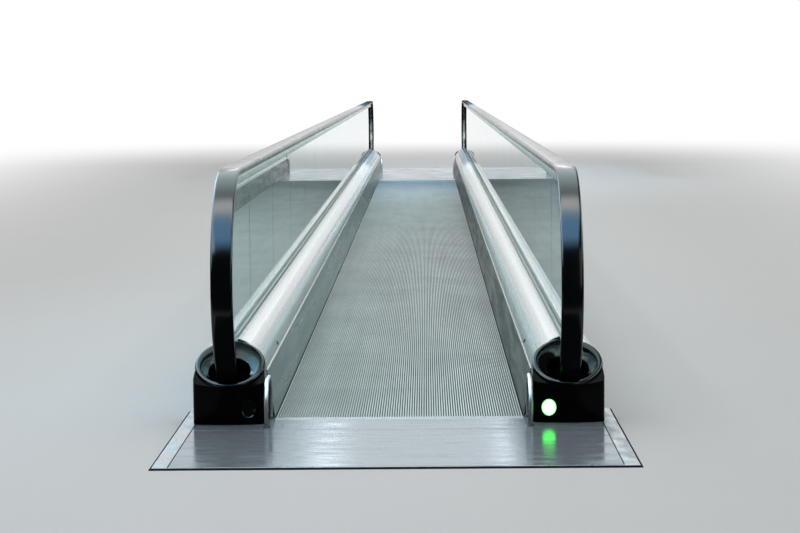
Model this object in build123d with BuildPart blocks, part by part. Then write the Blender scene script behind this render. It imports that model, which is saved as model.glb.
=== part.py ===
# Moving walkway: a level pallet band between two glass balustrades, with a landing at each end.
# Millimetres. X runs across, Y runs along the band from the near end to the far end, Z is up.
# The origin is the middle of the underside. People walk on the level floor_z above it.
import math
import os

from build123d import *

# Lengths along the walkway
pallet_pitch = 400.0
pallet_count = 49
near_newel_reach = 375.0
far_newel_reach = 2900.0
plate_reach = 735.0
frame_tail = 210.0

# Bed and pallet band
floor_z = 60.0
pan_thickness = 6.0
pan_wall = 24.0
track_width = 60.0
track_inset = 100.0
pallet_width = 1000.0
pallet_thickness = 24.0
pallet_gap = 3.0
rib_pitch = 10.0
rib_width = 5.0
rib_height = 10.0
skirt_gap = 3.0

# Landings
frame_margin = 364.5
frame_strip = 54.0
frame_front = 10.0
ledge_width = 30.0
bearer_width = 40.0
plate_thickness = 8.0
plate_gap = 4.0
comb_plate_length = 300.0
comb_length = 60.0
comb_segments = 5
comb_seam = 1.0
comb_mesh = 20.0
tooth_width = 3.4
tooth_clearance = 1.0
far_plates = 2

# Decks, skirts and cladding of the balustrade base
deck_margin = 175.0
deck_radius = 142.5
deck_axis_height = 175.0
deck_edge_height = 195.0
sheet = 3.0
trim_height = 4.0
trim_depth = 6.0
trim_lip = 2.0
skirt_panels = 13
deck_panels = 8
panel_gap = 1.5
seat_gap = 0.3

# Glass, clamp, guide and handrail
handrail_margin = 177.0
handrail_height = 1010.0
handrail_width = 86.0
handrail_depth = 30.0
handrail_corner = 9.0
handrail_cover = 10.0
handrail_side = 9.0
handrail_lip = 8.0
handrail_mouth = 42.0
newel_foot = 100.0
newel_wrap = 156.5
guide_clearance = 2.0
guide_width = 34.0
guide_drop = 48.0
guide_foot = 26.0
glass_thickness = 12.0
glass_slack = 0.5
glass_grip = 26.0
glass_step = 95.0
first_joint = 940.0
pane_count = 14
pane_gap = 4.0
clamp_width = 44.0
clamp_rise = 12.0
clamp_grip = 60.0
clamp_floor = 20.0
post_width = 40.0

# End caps, inlet collars, lamps and guard hoops
cap_front = 180.0
cap_tail = 15.0
cap_bow = 22.0
cap_corner = 24.0
slope_angle = 57.0
slope_reach = 66.0
slope_height = 225.0
collar_radius = 142.0
collar_rim = 26.0
inlet_radius = 85.0
inlet_drop = 38.0
inlet_depth = 60.0
lamp_width = 62.0
lamp_tall = 71.0
lamp_offset = 80.0
lamp_height = 62.0
lamp_recess = 14.0
lamp_edge = 3.0
lamp_clearance = 1.0
bowl_width = 76.0
bowl_tall = 88.0
bowl_drop = 4.0
hoop_margin = 20.0
hoop_tube = 18.0
hoop_height = 188.0
hoop_span = 228.0
hoop_reach = 236.0
hoop_bend = 90.0

# Places worked out from the sizes above
band_length = pallet_pitch * pallet_count
rail_length = near_newel_reach + band_length + far_newel_reach
half_length = rail_length / 2 + plate_reach
near_comb = -rail_length / 2 + near_newel_reach
far_comb = near_comb + band_length
frame_back = near_comb + frame_tail
cap_back = near_comb + cap_tail
groove_z = floor_z - rib_height
track_top = groove_z - pallet_thickness
rib_count = int(pallet_width / rib_pitch)
track_x = pallet_width / 2 - track_inset
skirt_x = pallet_width / 2 + skirt_gap
hoop_x = pallet_width / 2 + hoop_margin
deck_x = pallet_width / 2 + deck_margin
handrail_x = pallet_width / 2 + handrail_margin
frame_half = pallet_width / 2 + frame_margin
plate_half = frame_half - frame_strip
plate_under = floor_z - plate_thickness
deck_inner = deck_x - deck_radius
deck_outer = deck_x + deck_radius
deck_axis = floor_z + deck_axis_height
deck_edge = floor_z + deck_edge_height
trim_bottom = deck_edge - trim_height
clamp_top = deck_axis + deck_radius + clamp_rise
glass_foot = clamp_top - clamp_grip
newel_radius = (handrail_height - newel_foot) / 2
newel_y = rail_length / 2 - newel_radius
newel_z = floor_z + handrail_height - newel_radius
guide_bottom = handrail_depth + guide_drop
glass_edge = guide_bottom - glass_grip + glass_slack

os.makedirs("parts", exist_ok=True)


def section_plane(y):
    """Upright plane across the walkway at y; an extrusion from it runs towards the near end."""
    return Plane.XZ.offset(-y)


def mirrored(source, about):
    with BuildPart() as copy:
        mirror(source.part, about=about)
    return copy


def save(piece, name):
    piece.part.label = name
    export_step(piece.part, "parts/" + name + ".step")


def save_pair(right, name):
    save(right, name + "_right")
    save(mirrored(right, Plane.YZ), name + "_left")


def save_four(near_right, name):
    save_pair(near_right, name + "_near")
    save_pair(mirrored(near_right, Plane.XZ), name + "_far")


def spans(start, end, count, gap):
    """Equal lengths that fill start to end, with a gap between neighbours."""
    step = (end - start + gap) / count
    return [(start + k * step, start + (k + 1) * step - gap) for k in range(count)]


def slab(x_range, y_range, z_range, mode=Mode.ADD):
    """Upright block between two corners, given to the part being built."""
    x0, x1 = sorted(x_range)
    y0, y1 = sorted(y_range)
    z0, z1 = z_range
    with BuildSketch(Plane.XY.offset(z0)) as base:
        with Locations(((x0 + x1) / 2, (y0 + y1) / 2)):
            Rectangle(x1 - x0, y1 - y0)
    extrude(base.sketch, amount=z1 - z0, mode=mode)


def slope_plane(end=-1):
    """Tilted face of a right end cap, at the near end by default."""
    tilt = math.radians(slope_angle)
    return Plane(
        origin=(deck_x, end * (slope_reach - near_comb), floor_z + slope_height),
        x_dir=(1, 0, 0),
        z_dir=(0, end * math.cos(tilt), math.sin(tilt)),
    )


def cut_by_slopes():
    """Takes away what stands in front of the tilted faces at both ends."""
    for end in (-1, 1):
        with BuildSketch(slope_plane(end)) as waste:
            Rectangle(4 * deck_radius, 8 * deck_radius)
        extrude(waste.sketch, amount=4 * deck_radius, mode=Mode.SUBTRACT)


# Bed
def truss_pan():
    with BuildPart() as pan:
        slab((-deck_outer, deck_outer), (frame_back, -frame_back), (0, pan_thickness))
        for end in (-1, 1):
            slab((-frame_half, frame_half), (end * half_length, -end * frame_back), (0, pan_thickness))
        for side in (-1, 1):
            wall = (side * deck_outer, side * (deck_outer - pan_wall))
            slab(wall, (frame_back, -frame_back), (0, floor_z))
    return pan


def pallet_tracks():
    with BuildPart() as tracks:
        for side in (-1, 1):
            rail = (side * track_x - track_width / 2, side * track_x + track_width / 2)
            slab(rail, (near_comb, far_comb), (pan_thickness, track_top))
    return tracks


# Pallet band
def pallets():
    half = pallet_width / 2
    with BuildPart() as band:
        for pallet in spans(near_comb, far_comb, pallet_count, pallet_gap):
            slab((-half, half), pallet, (track_top, groove_z))
    return band


def tread_ribs():
    with BuildPart() as ribs:
        with BuildSketch(Plane.XY.offset(groove_z)):
            with Locations((0, (near_comb + far_comb) / 2)):
                with GridLocations(rib_pitch, 1, rib_count, 1):
                    Rectangle(rib_width, band_length)
        extrude(amount=rib_height)
    return ribs


# Landings
def landing_frame_near():
    ledge = plate_half - ledge_width
    outer = -half_length
    joint = near_comb - comb_plate_length
    bearers = (
        outer + frame_front + bearer_width / 2,
        (outer + joint) / 2,
        joint,
        near_comb - comb_length,
    )
    with BuildPart() as frame:
        for side in (-1, 1):
            slab((side * plate_half, side * frame_half), (outer, frame_back), (pan_thickness, floor_z))
            slab((side * ledge, side * plate_half), (outer, cap_back), (pan_thickness, plate_under))
        slab((-plate_half, plate_half), (outer, outer + frame_front), (pan_thickness, floor_z))
        for y in bearers:
            bearer = (y - bearer_width / 2, y + bearer_width / 2)
            slab((-ledge, ledge), bearer, (pan_thickness, plate_under))
    return frame


def far_plate_spans():
    start = far_comb + comb_plate_length + plate_gap
    return spans(start, -cap_back, far_plates, plate_gap)


def landing_frame_far(near_frame):
    """The near frame turned round, with two rails between the skirts towards the far comb."""
    rail_x = track_x + track_width
    joint = far_comb + comb_plate_length
    joints = [far_comb + comb_length, joint] + [end for start, end in far_plate_spans()]
    with BuildPart() as frame:
        mirror(near_frame.part, about=Plane.XZ)
        for side in (-1, 1):
            rail = (side * rail_x, side * (rail_x + ledge_width))
            run = (far_comb + comb_length - bearer_width / 2, -near_comb + comb_length)
            slab(rail, run, (pan_thickness, plate_under))
        for y in joints:
            bearer = (y - bearer_width / 2, y + bearer_width / 2)
            slab((-rail_x, rail_x), bearer, (pan_thickness, plate_under))
    return frame


def floor_plate_near():
    outer = -half_length + frame_front + plate_gap
    width = plate_half - plate_gap
    joint = near_comb - comb_plate_length - plate_gap
    with BuildPart() as plate:
        slab((-width, width), (outer, joint), (plate_under, floor_z))
    return plate


def floor_plate_far():
    outer = half_length - frame_front - plate_gap
    width = plate_half - plate_gap
    between = skirt_x - plate_gap
    with BuildPart() as plate:
        slab((-width, width), (-cap_back + plate_gap, outer), (plate_under, floor_z))
        for start, end in far_plate_spans():
            slab((-between, between), (start, end), (plate_under, floor_z))
    return plate


def comb_plate_near():
    """Full-width plate whose two tongues pass beside the band and carry the end caps."""
    width = plate_half - plate_gap
    front = near_comb - comb_length
    with BuildPart() as plate:
        slab((-width, width), (near_comb - comb_plate_length, front), (plate_under, floor_z))
        for side in (-1, 1):
            slab((side * skirt_x, side * width), (front, cap_back), (plate_under, floor_z))
    return plate


def comb_plate_far():
    between = skirt_x - plate_gap
    with BuildPart() as plate:
        slab(
            (-between, between),
            (far_comb + comb_length, far_comb + comb_plate_length),
            (plate_under, floor_z),
        )
    return plate


def combs_near():
    """Comb segments whose teeth lie in the grooves between the ribs and taper to their tips."""
    band_edge = -rib_count * rib_pitch / 2
    tooth_bottom = groove_z + tooth_clearance
    root = near_comb - comb_seam
    with BuildPart() as combs:
        for k in range(comb_segments):
            first = round(k * rib_count / comb_segments)
            last = round((k + 1) * rib_count / comb_segments)
            left = band_edge + first * rib_pitch
            right = band_edge + last * rib_pitch
            slab(
                (left + comb_seam / 2, right - comb_seam / 2),
                (near_comb - comb_length + comb_seam, root),
                (plate_under, floor_z),
            )
            tooth_side = left + rib_pitch - tooth_width / 2
            with BuildSketch(Plane.YZ.offset(tooth_side)) as tooth:
                with BuildLine():
                    Polyline(
                        (root, tooth_bottom),
                        (near_comb + comb_mesh, tooth_bottom),
                        (near_comb + comb_mesh, tooth_bottom + 2 * tooth_clearance),
                        (root, floor_z),
                        close=True,
                    )
                make_face()
            for n in range(last - first - 1):
                extrude(tooth.sketch.moved(Location((n * rib_pitch, 0, 0))), amount=tooth_width)
    return combs


# Balustrade base
def skirt():
    """Bent sheet: upright beside the pallets, then leaning out to the deck's lower edge."""
    top = trim_bottom - seat_gap
    lean = deck_inner - skirt_x
    with BuildPart() as panels:
        for start, end in spans(cap_back, -cap_back, skirt_panels, panel_gap):
            with BuildSketch(section_plane(end)):
                with BuildLine():
                    Polyline(
                        (skirt_x, pan_thickness),
                        (skirt_x, floor_z),
                        (skirt_x + lean, top),
                        (skirt_x + lean + sheet, top),
                        (skirt_x + sheet, floor_z),
                        (skirt_x + sheet, pan_thickness),
                        close=True,
                    )
                make_face()
            extrude(amount=end - start)
    return panels


def deck(inner):
    """Quarter-round sheet on one side of the glass clamp, cut by the tilted cap faces."""
    top = deck_axis + deck_radius
    slot = clamp_width / 2 + seat_gap
    bottom = deck_edge + seat_gap
    if inner:
        across = (deck_inner, handrail_x - slot)
    else:
        across = (handrail_x + slot, deck_outer)
    with BuildPart() as panels:
        for start, end in spans(cap_back, -cap_back, deck_panels, panel_gap):
            with BuildSketch(section_plane(end)):
                with Locations((deck_x, deck_axis)):
                    Circle(deck_radius)
                    Circle(deck_radius - sheet, mode=Mode.SUBTRACT)
                with Locations((sum(across) / 2, (bottom + top) / 2)):
                    Rectangle(across[1] - across[0], top - bottom, mode=Mode.INTERSECT)
            extrude(amount=end - start)
        cut_by_slopes()
    return panels


def deck_trims():
    edge = (deck_inner - trim_lip, deck_inner - trim_lip + trim_depth)
    with BuildPart() as trims:
        slab(edge, (cap_back, -cap_back), (trim_bottom, deck_edge))
        mirror(about=Plane.YZ)
    return trims


def outer_cladding():
    with BuildPart() as panels:
        for run in spans(cap_back, -cap_back, deck_panels, panel_gap):
            slab((deck_outer - sheet, deck_outer), run, (floor_z, deck_edge))
    return panels


def glass_clamp():
    """Channel that grips the foot of the glass, on posts that stand in the bed."""
    channel_bottom = glass_foot - clamp_floor
    slot = glass_thickness / 2 + glass_slack
    half = clamp_width / 2
    pane = joint_pitch()
    post_y = [near_comb + first_joint + k * pane for k in range(pane_count + 1)]
    with BuildPart() as clamp:
        slab((handrail_x - half, handrail_x + half), (cap_back, -cap_back), (channel_bottom, clamp_top))
        slab((handrail_x - slot, handrail_x + slot), (cap_back, -cap_back),
             (glass_foot - seat_gap, clamp_top), mode=Mode.SUBTRACT)
        cut_by_slopes()
        for y in post_y:
            slab((handrail_x - half, handrail_x + half), (y - post_width / 2, y + post_width / 2),
                 (pan_thickness, channel_bottom))
    return clamp


# Glass
def joint_pitch():
    first = near_comb + first_joint
    return -2 * first / pane_count


def glass():
    """Straight panes between two end panes that are rounded to the newel."""
    first = near_comb + first_joint
    reach = newel_radius - glass_edge
    top = newel_z + reach
    step_y = near_comb + glass_step
    step_z = clamp_top + glass_slack
    face = Plane.YZ.offset(handrail_x - glass_thickness / 2)
    nose = math.sqrt(reach ** 2 - (newel_z - step_z) ** 2)
    with BuildPart() as panes:
        with BuildSketch(face):
            with BuildLine():
                Polyline(
                    (-newel_y - nose, step_z),
                    (step_y, step_z),
                    (step_y, glass_foot),
                    (first - pane_gap / 2, glass_foot),
                    (first - pane_gap / 2, top),
                    (-newel_y, top),
                )
                ThreePointArc((-newel_y, top), (-newel_y - reach, newel_z), (-newel_y - nose, step_z))
            make_face()
        extrude(amount=glass_thickness)
        mirror(about=Plane.XZ)
        for start, end in spans(first + pane_gap / 2, -first - pane_gap / 2, pane_count, pane_gap):
            slab((handrail_x - glass_thickness / 2, handrail_x + glass_thickness / 2),
                 (start, end), (glass_foot, top))
    return panes


# Guide and handrail, whose sections are drawn at the top of the far newel
def along_newels(section):
    """Runs a section along the straight and round both newels of the part being built."""
    axis = Axis((handrail_x, newel_y, newel_z), (-1, 0, 0))
    extrude(section.sketch, amount=newel_y)
    revolve(section.sketch, axis=axis, revolution_arc=newel_wrap)
    mirror(about=Plane.XZ)


def handrail():
    top = newel_z + newel_radius
    cavity = handrail_depth - handrail_cover - handrail_lip
    with BuildPart() as rail:
        with BuildSketch(section_plane(newel_y)) as section:
            with Locations((handrail_x, top - handrail_depth / 2)):
                Rectangle(handrail_width, handrail_depth)
            fillet(section.vertices(), handrail_corner)
            with Locations((handrail_x, top - handrail_cover - cavity / 2)):
                Rectangle(handrail_width - 2 * handrail_side, cavity, mode=Mode.SUBTRACT)
            with Locations((handrail_x, top - handrail_depth + handrail_lip / 2)):
                Rectangle(handrail_mouth, handrail_lip, mode=Mode.SUBTRACT)
        along_newels(section)
    return rail


def handrail_guide():
    """T-shaped rail: its head runs inside the handrail, its foot grips the edge of the glass."""
    top = newel_z + newel_radius
    head_top = top - handrail_cover - seat_gap
    head_bottom = top - handrail_depth + handrail_lip + guide_clearance
    head = handrail_width / 2 - handrail_side - guide_clearance
    neck = handrail_mouth / 2 - guide_clearance
    shoulder = top - handrail_depth - guide_clearance
    foot = top - guide_bottom
    slot = glass_thickness / 2 + glass_slack
    with BuildPart() as rail:
        with BuildSketch(section_plane(newel_y)) as section:
            with BuildLine():
                Polyline(
                    (handrail_x, head_top),
                    (handrail_x + head, head_top),
                    (handrail_x + head, head_bottom),
                    (handrail_x + neck, head_bottom),
                    (handrail_x + neck, shoulder),
                    (handrail_x + guide_width / 2, shoulder),
                    (handrail_x + guide_foot / 2, foot),
                    (handrail_x + slot, foot),
                    (handrail_x + slot, top - glass_edge + glass_slack),
                    (handrail_x, top - glass_edge + glass_slack),
                    close=True,
                )
            make_face()
            mirror(about=Plane.YZ.offset(handrail_x))
        along_newels(section)
    return rail


# Newel end
def end_cap():
    """Upright sides under a round top, as the decks are, with a tilted face for the collar."""
    front = near_comb - cap_front
    top = deck_axis + deck_radius
    with BuildPart() as cap:
        with BuildSketch(Plane.XY.offset(floor_z)) as plan:
            with BuildLine():
                Polyline(
                    (deck_inner, front + cap_bow),
                    (deck_inner, cap_back - seat_gap),
                    (deck_outer, cap_back - seat_gap),
                    (deck_outer, front + cap_bow),
                )
                ThreePointArc((deck_outer, front + cap_bow), (deck_x, front), (deck_inner, front + cap_bow))
            make_face()
            fillet(plan.vertices().sort_by(Axis.Y)[:2], cap_corner)
        extrude(amount=top - floor_z)
        with BuildSketch(section_plane(cap_back)):
            with Locations((deck_x, deck_axis)):
                Circle(deck_radius)
            with Locations((deck_x, (floor_z + deck_axis) / 2)):
                Rectangle(2 * deck_radius, deck_axis - floor_z)
        extrude(amount=cap_front + cap_tail, mode=Mode.INTERSECT)
        with BuildSketch(slope_plane()):
            Rectangle(4 * deck_radius, 8 * deck_radius)
        extrude(amount=4 * deck_radius, mode=Mode.SUBTRACT)
        with BuildSketch(slope_plane()):
            with Locations((0, -inlet_drop)):
                Circle(inlet_radius)
        extrude(amount=-inlet_depth, mode=Mode.SUBTRACT)
        with BuildSketch(section_plane(front + lamp_recess)):
            with Locations((deck_x - lamp_offset, floor_z + lamp_height)):
                Ellipse(lamp_width / 2 + lamp_clearance, lamp_tall / 2 + lamp_clearance)
        with BuildSketch(section_plane(front)):
            with Locations((deck_x - lamp_offset, floor_z + lamp_height - bowl_drop)):
                Ellipse(bowl_width / 2, bowl_tall / 2)
        loft(mode=Mode.SUBTRACT)
    return cap


def inlet_collar(cap):
    """Round rim on the tilted face, dished to a low hole, with a lip over the front of the cap."""
    plane = slope_plane()
    crest = collar_rim / 2
    rim_middle = collar_radius - crest
    with BuildPart() as collar:
        with BuildSketch(Plane(origin=plane.origin, x_dir=plane.x_dir, z_dir=-plane.y_dir)):
            with Locations((rim_middle, 0)):
                Circle(crest)
        revolve(axis=Axis(plane.origin, plane.z_dir))
        with BuildSketch(plane):
            Circle(rim_middle)
        extrude(amount=crest)
        with BuildSketch(plane):
            with Locations((0, collar_radius / 2)):
                Rectangle(2 * collar_radius, 2 * collar_radius)
        extrude(amount=-crest, mode=Mode.SUBTRACT)
        add(cap.part, mode=Mode.SUBTRACT)
        with BuildSketch(plane):
            with Locations((0, -inlet_drop)):
                Circle(inlet_radius)
        with BuildSketch(plane.offset(crest)):
            Circle(rim_middle)
        loft(mode=Mode.SUBTRACT)
        with BuildSketch(plane):
            with Locations((0, -inlet_drop)):
                Circle(inlet_radius)
        extrude(amount=-crest, mode=Mode.SUBTRACT)
    return collar


def signal_lamp():
    face = near_comb - cap_front + lamp_recess
    with BuildPart() as lamp:
        with BuildSketch(section_plane(face)):
            with Locations((deck_x - lamp_offset, floor_z + lamp_height)):
                Ellipse(lamp_width / 2, lamp_tall / 2)
        extrude(amount=lamp_recess)
        chamfer(lamp.faces().sort_by(Axis.Y)[0].edges(), lamp_edge)
    return lamp


def guard_hoop():
    """Bent tube between the band and the end cap, with both feet on the comb plate."""
    start = near_comb - hoop_reach
    end = start + hoop_span
    top = floor_z + hoop_height - hoop_tube / 2
    with BuildPart() as hoop:
        with BuildLine(Plane.YZ.offset(hoop_x)) as route:
            FilletPolyline(
                (start, floor_z), (start, top), (end, top), (end, floor_z),
                radius=hoop_bend,
            )
        with BuildSketch(Plane(origin=route.line @ 0, z_dir=route.line % 0)):
            Circle(hoop_tube / 2)
        sweep()
    return hoop


save(truss_pan(), "truss_pan")
save(pallet_tracks(), "pallet_tracks")
save(pallets(), "pallets")
save(tread_ribs(), "tread_ribs")
near_frame = landing_frame_near()
save(near_frame, "landing_frame_near")
save(landing_frame_far(near_frame), "landing_frame_far")
save(floor_plate_near(), "floor_plate_near")
save(floor_plate_far(), "floor_plate_far")
save(comb_plate_near(), "comb_plate_near")
save(comb_plate_far(), "comb_plate_far")
near_combs = combs_near()
save(near_combs, "combs_near")
with BuildPart() as far_combs:
    add(near_combs.part.mirror(Plane.XZ.offset(-(near_comb + far_comb) / 2)))
save(far_combs, "combs_far")
save_pair(skirt(), "skirt")
save_pair(deck(inner=True), "inner_deck")
save_pair(deck(inner=False), "outer_deck")
save(deck_trims(), "deck_trims")
save_pair(outer_cladding(), "outer_cladding")
save_pair(glass_clamp(), "glass_clamp")
save_pair(glass(), "glass")
save_pair(handrail_guide(), "handrail_guide")
save_pair(handrail(), "handrail")
cap = end_cap()
save_four(cap, "end_cap")
save_four(inlet_collar(cap), "inlet_collar")
save_four(signal_lamp(), "signal_lamp")
save_four(guard_hoop(), "guard_hoop")
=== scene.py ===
"""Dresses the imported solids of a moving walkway: modelled pieces, finishes, light and camera.

Everything is in metres in the part's own frame: X across, Y along the band, Z up from the underside.
"""

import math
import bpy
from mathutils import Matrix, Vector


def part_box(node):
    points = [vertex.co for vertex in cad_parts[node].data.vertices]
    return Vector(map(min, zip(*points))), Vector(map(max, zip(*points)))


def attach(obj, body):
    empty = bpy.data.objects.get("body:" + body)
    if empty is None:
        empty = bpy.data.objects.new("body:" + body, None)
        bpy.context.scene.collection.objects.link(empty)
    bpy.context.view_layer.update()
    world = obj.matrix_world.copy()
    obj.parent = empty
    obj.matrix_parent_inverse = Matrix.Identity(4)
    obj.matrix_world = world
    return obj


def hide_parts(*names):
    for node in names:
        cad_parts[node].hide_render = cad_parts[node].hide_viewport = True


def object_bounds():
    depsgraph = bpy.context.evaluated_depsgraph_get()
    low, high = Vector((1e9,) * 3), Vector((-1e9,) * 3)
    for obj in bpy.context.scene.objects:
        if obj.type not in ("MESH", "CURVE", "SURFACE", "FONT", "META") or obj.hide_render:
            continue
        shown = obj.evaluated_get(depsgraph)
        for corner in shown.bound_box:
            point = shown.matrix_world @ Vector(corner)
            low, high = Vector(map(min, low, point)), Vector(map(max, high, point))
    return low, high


bl_info = {
    "name": "Moving walkway",
    "version": (1, 0, 0),
    "blender": (4, 5, 0),
    "location": "View3D > Sidebar > Walkway",
    "description": "Builds and finishes the pieces of a moving walkway round its packed solids",
    "category": "Add Mesh",
}

import bmesh
import bpy
from mathutils import Matrix, Vector

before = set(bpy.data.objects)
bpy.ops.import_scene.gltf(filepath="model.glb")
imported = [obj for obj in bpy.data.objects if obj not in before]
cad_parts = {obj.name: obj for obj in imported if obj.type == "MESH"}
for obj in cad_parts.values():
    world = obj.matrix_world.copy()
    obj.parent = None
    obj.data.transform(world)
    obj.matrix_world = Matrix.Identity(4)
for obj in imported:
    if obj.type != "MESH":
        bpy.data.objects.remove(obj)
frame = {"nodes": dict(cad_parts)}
cad_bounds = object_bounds()

SIDES = {"right": 1, "left": -1}
ENDS = {"near": -1, "far": 1}
BODY = "root"

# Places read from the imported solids
band_low, band_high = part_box("pallets")
ribs_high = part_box("tread_ribs")[1]
cap_low, cap_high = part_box("end_cap_near_right")
clamp_low, clamp_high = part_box("glass_clamp_right")
rail_low, rail_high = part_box("handrail_right")
near_comb = band_low.y
far_comb = band_high.y
floor_z = ribs_high.z
deck_x = (cap_low.x + cap_high.x) / 2
deck_radius = (cap_high.x - cap_low.x) / 2
rail_x = (rail_low.x + rail_high.x) / 2


def length(name, description, default):
    return bpy.props.FloatProperty(
        name=name, description=description, default=default, min=0, unit="LENGTH", precision=4
    )


def angle(name, description, degrees):
    return bpy.props.FloatProperty(
        name=name, description=description, default=math.radians(degrees), subtype="ANGLE"
    )


def number(name, description, default):
    return bpy.props.IntProperty(name=name, description=description, default=default, min=1)


def colour(name, description, default):
    return bpy.props.FloatVectorProperty(
        name=name, description=description, default=default, size=3, min=0, max=1, subtype="COLOR"
    )


class WalkwaySizes(bpy.types.PropertyGroup):
    """Sizes of the pieces that are modelled here."""

    rib_pitch: length("Rib pitch", "Distance between neighbouring ribs", 0.010)
    rib_width: length("Rib width", "Width of one rib", 0.005)
    rib_chamfer: length("Rib chamfer", "Chamfer round the top of a rib", 0.0007)
    pallet_pitch: length("Pallet pitch", "Length of one pallet with its joint", 0.400)
    pallet_joint: length("Pallet joint", "Gap between the ribs of two pallets", 0.003)
    deck_axis: length("Deck axis height", "Height of the deck's centre over the underside", 0.235)
    deck_sheet: length("Deck sheet", "Thickness of the deck sheets", 0.003)
    deck_panels: number("Deck panels", "Panels along each deck", 8)
    deck_joint: length("Deck joint", "Gap between two deck panels", 0.0015)
    slope_angle: angle("Slope angle", "Angle of the cap face's normal over the floor", 57)
    slope_reach: length("Slope reach", "From the comb to the middle of the cap face", 0.066)
    slope_height: length("Slope height", "Middle of the cap face over the floor", 0.225)
    handrail_depth: length("Handrail depth", "Height of the handrail's section", 0.030)
    handrail_crown: length("Handrail crown", "Rise of the handrail's middle", 0.0015)
    handrail_shoulder: length("Handrail shoulder", "Rounding of its outer edges", 0.009)
    handrail_mouth: length("Handrail mouth", "Width of the slot underneath", 0.042)
    newel_radius: length("Newel radius", "Outside radius of the handrail", 0.455)
    newel_wrap: angle("Newel wrap", "Turn of the handrail round the newel", 156.5)
    collar_radius: length("Collar radius", "Outside radius of the inlet collar", 0.142)
    collar_rim: length("Collar rim", "Thickness of the collar's round rim", 0.026)
    inlet_radius: length("Inlet radius", "Radius of the handrail's inlet", 0.085)
    inlet_drop: length("Inlet drop", "Distance of the inlet below the collar's middle", 0.038)
    lens_rise: length("Lens rise", "Rise of the lamp's domed lens", 0.006)
    hoop_tube: length("Hoop tube", "Diameter of the guard hoops", 0.018)
    hoop_bend: length("Hoop bend", "Bend radius at the tube's middle", 0.090)
    screw_head: length("Screw head", "Radius of a screw head", 0.0045)
    screw_pitch: length("Screw pitch", "Distance between the screws of a deck", 1.0)
    edge: length("Edge break", "Small bevel on cut metal edges", 0.0008)
    fine_edge: length("Fine edge", "Smallest bevel, round the plates and strips", 0.00025)


class WalkwayColours(bpy.types.PropertyGroup):
    """Base colours of the finishes."""

    rib: colour("Ribs", "Worn tops of the ribs", (0.44, 0.52, 0.515))
    groove: colour("Grooves", "Grooves of the band", (0.06, 0.072, 0.072))
    comb: colour("Combs", "Comb segments", (0.31, 0.36, 0.37))
    plate: colour("Plates", "Brushed floor plates", (0.42, 0.50, 0.56))
    frame: colour("Frame", "Edge strips of the landings", (0.38, 0.43, 0.44))
    skirt: colour("Skirts", "Skirt sheets", (0.34, 0.43, 0.44))
    # Painted shade: the right-hand skirt gets a darker tone than the left.
    skirt_shade_tone: colour("Shaded skirt", "Skirt sheets on the right", (0.13, 0.135, 0.125))
    deck: colour("Decks", "Deck sheets", (0.70, 0.73, 0.735))
    trim: colour("Trims", "Trim along the decks", (0.90, 0.90, 0.82))
    clamp: colour("Clamps", "Channel that grips the glass", (0.27, 0.33, 0.31))
    guide: colour("Guides", "Rail that carries the handrail", (0.66, 0.69, 0.69))
    glass: colour("Glass", "Tint of the panes", (0.68, 0.93, 0.95))
    handrail: colour("Handrails", "Black rubber", (0.002, 0.0025, 0.003))
    cap: colour("End caps", "Black gloss shells", (0.0015, 0.0017, 0.002))
    hoop: colour("Hoops", "Polished tube", (0.74, 0.75, 0.74))
    seal: colour("Seals", "Grey rubber beside the glass", (0.17, 0.20, 0.19))
    bed: colour("Bed", "Paint of the pan", (0.20, 0.22, 0.23))
    lamp_core: colour("Lamp core", "Middle of the lit lamp", (0.22, 1.0, 0.27))
    lamp_rim: colour("Lamp rim", "Edge of the lit lamp", (0.015, 0.11, 0.015))
    lens: colour("Dark lens", "Lens of an unlit lamp", (0.002, 0.003, 0.003))
    floor: colour("Floor", "Plain floor of the stage", (0.66, 0.66, 0.65))


class WalkwayStage(bpy.types.PropertyGroup):
    """Camera, light and floor."""

    lens_mm: bpy.props.FloatProperty(
        name="Lens", description="Focal length on a 36 mm sensor, in millimetres", default=96.45
    )
    camera_x: bpy.props.FloatProperty(
        name="Camera across", description="Camera to the right of the middle", default=0.1154,
        unit="LENGTH",
    )
    camera_back: length("Camera back", "Camera in front of the near comb", 8.579)
    camera_height: length("Camera height", "Camera over the floor", 1.377)
    camera_pitch: angle("Camera pitch", "Tilt of the camera below the level", 5.107)
    camera_yaw: angle("Camera yaw", "Turn of the camera to the left", 0.715)
    camera_roll: angle("Camera roll", "Clockwise roll of the camera", 0.522)
    floor_drop: length("Floor drop", "Floor below the walking level", 0.007)
    floor_gap: length("Floor gap", "Joint between the floor and the landing frames", 0.010)
    day_strength: bpy.props.FloatProperty(
        name="Daylight", description="Strength of the surrounding light", default=0.45
    )


def sizes():
    return bpy.context.scene.walkway_sizes


def colours():
    return bpy.context.scene.walkway_colours


# Node groups shared by several finishes
def new_group(name, inputs, output):
    """Shader group with named inputs and one value output; gives its tree and its two ends."""
    tree = bpy.data.node_groups.new(name, "ShaderNodeTree")
    for label, kind, default in inputs:
        socket = tree.interface.new_socket(name=label, in_out="INPUT", socket_type=kind)
        socket.default_value = default
    tree.interface.new_socket(name=output, in_out="OUTPUT", socket_type="NodeSocketFloat")
    return tree, tree.nodes.new("NodeGroupInput"), tree.nodes.new("NodeGroupOutput")


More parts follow.
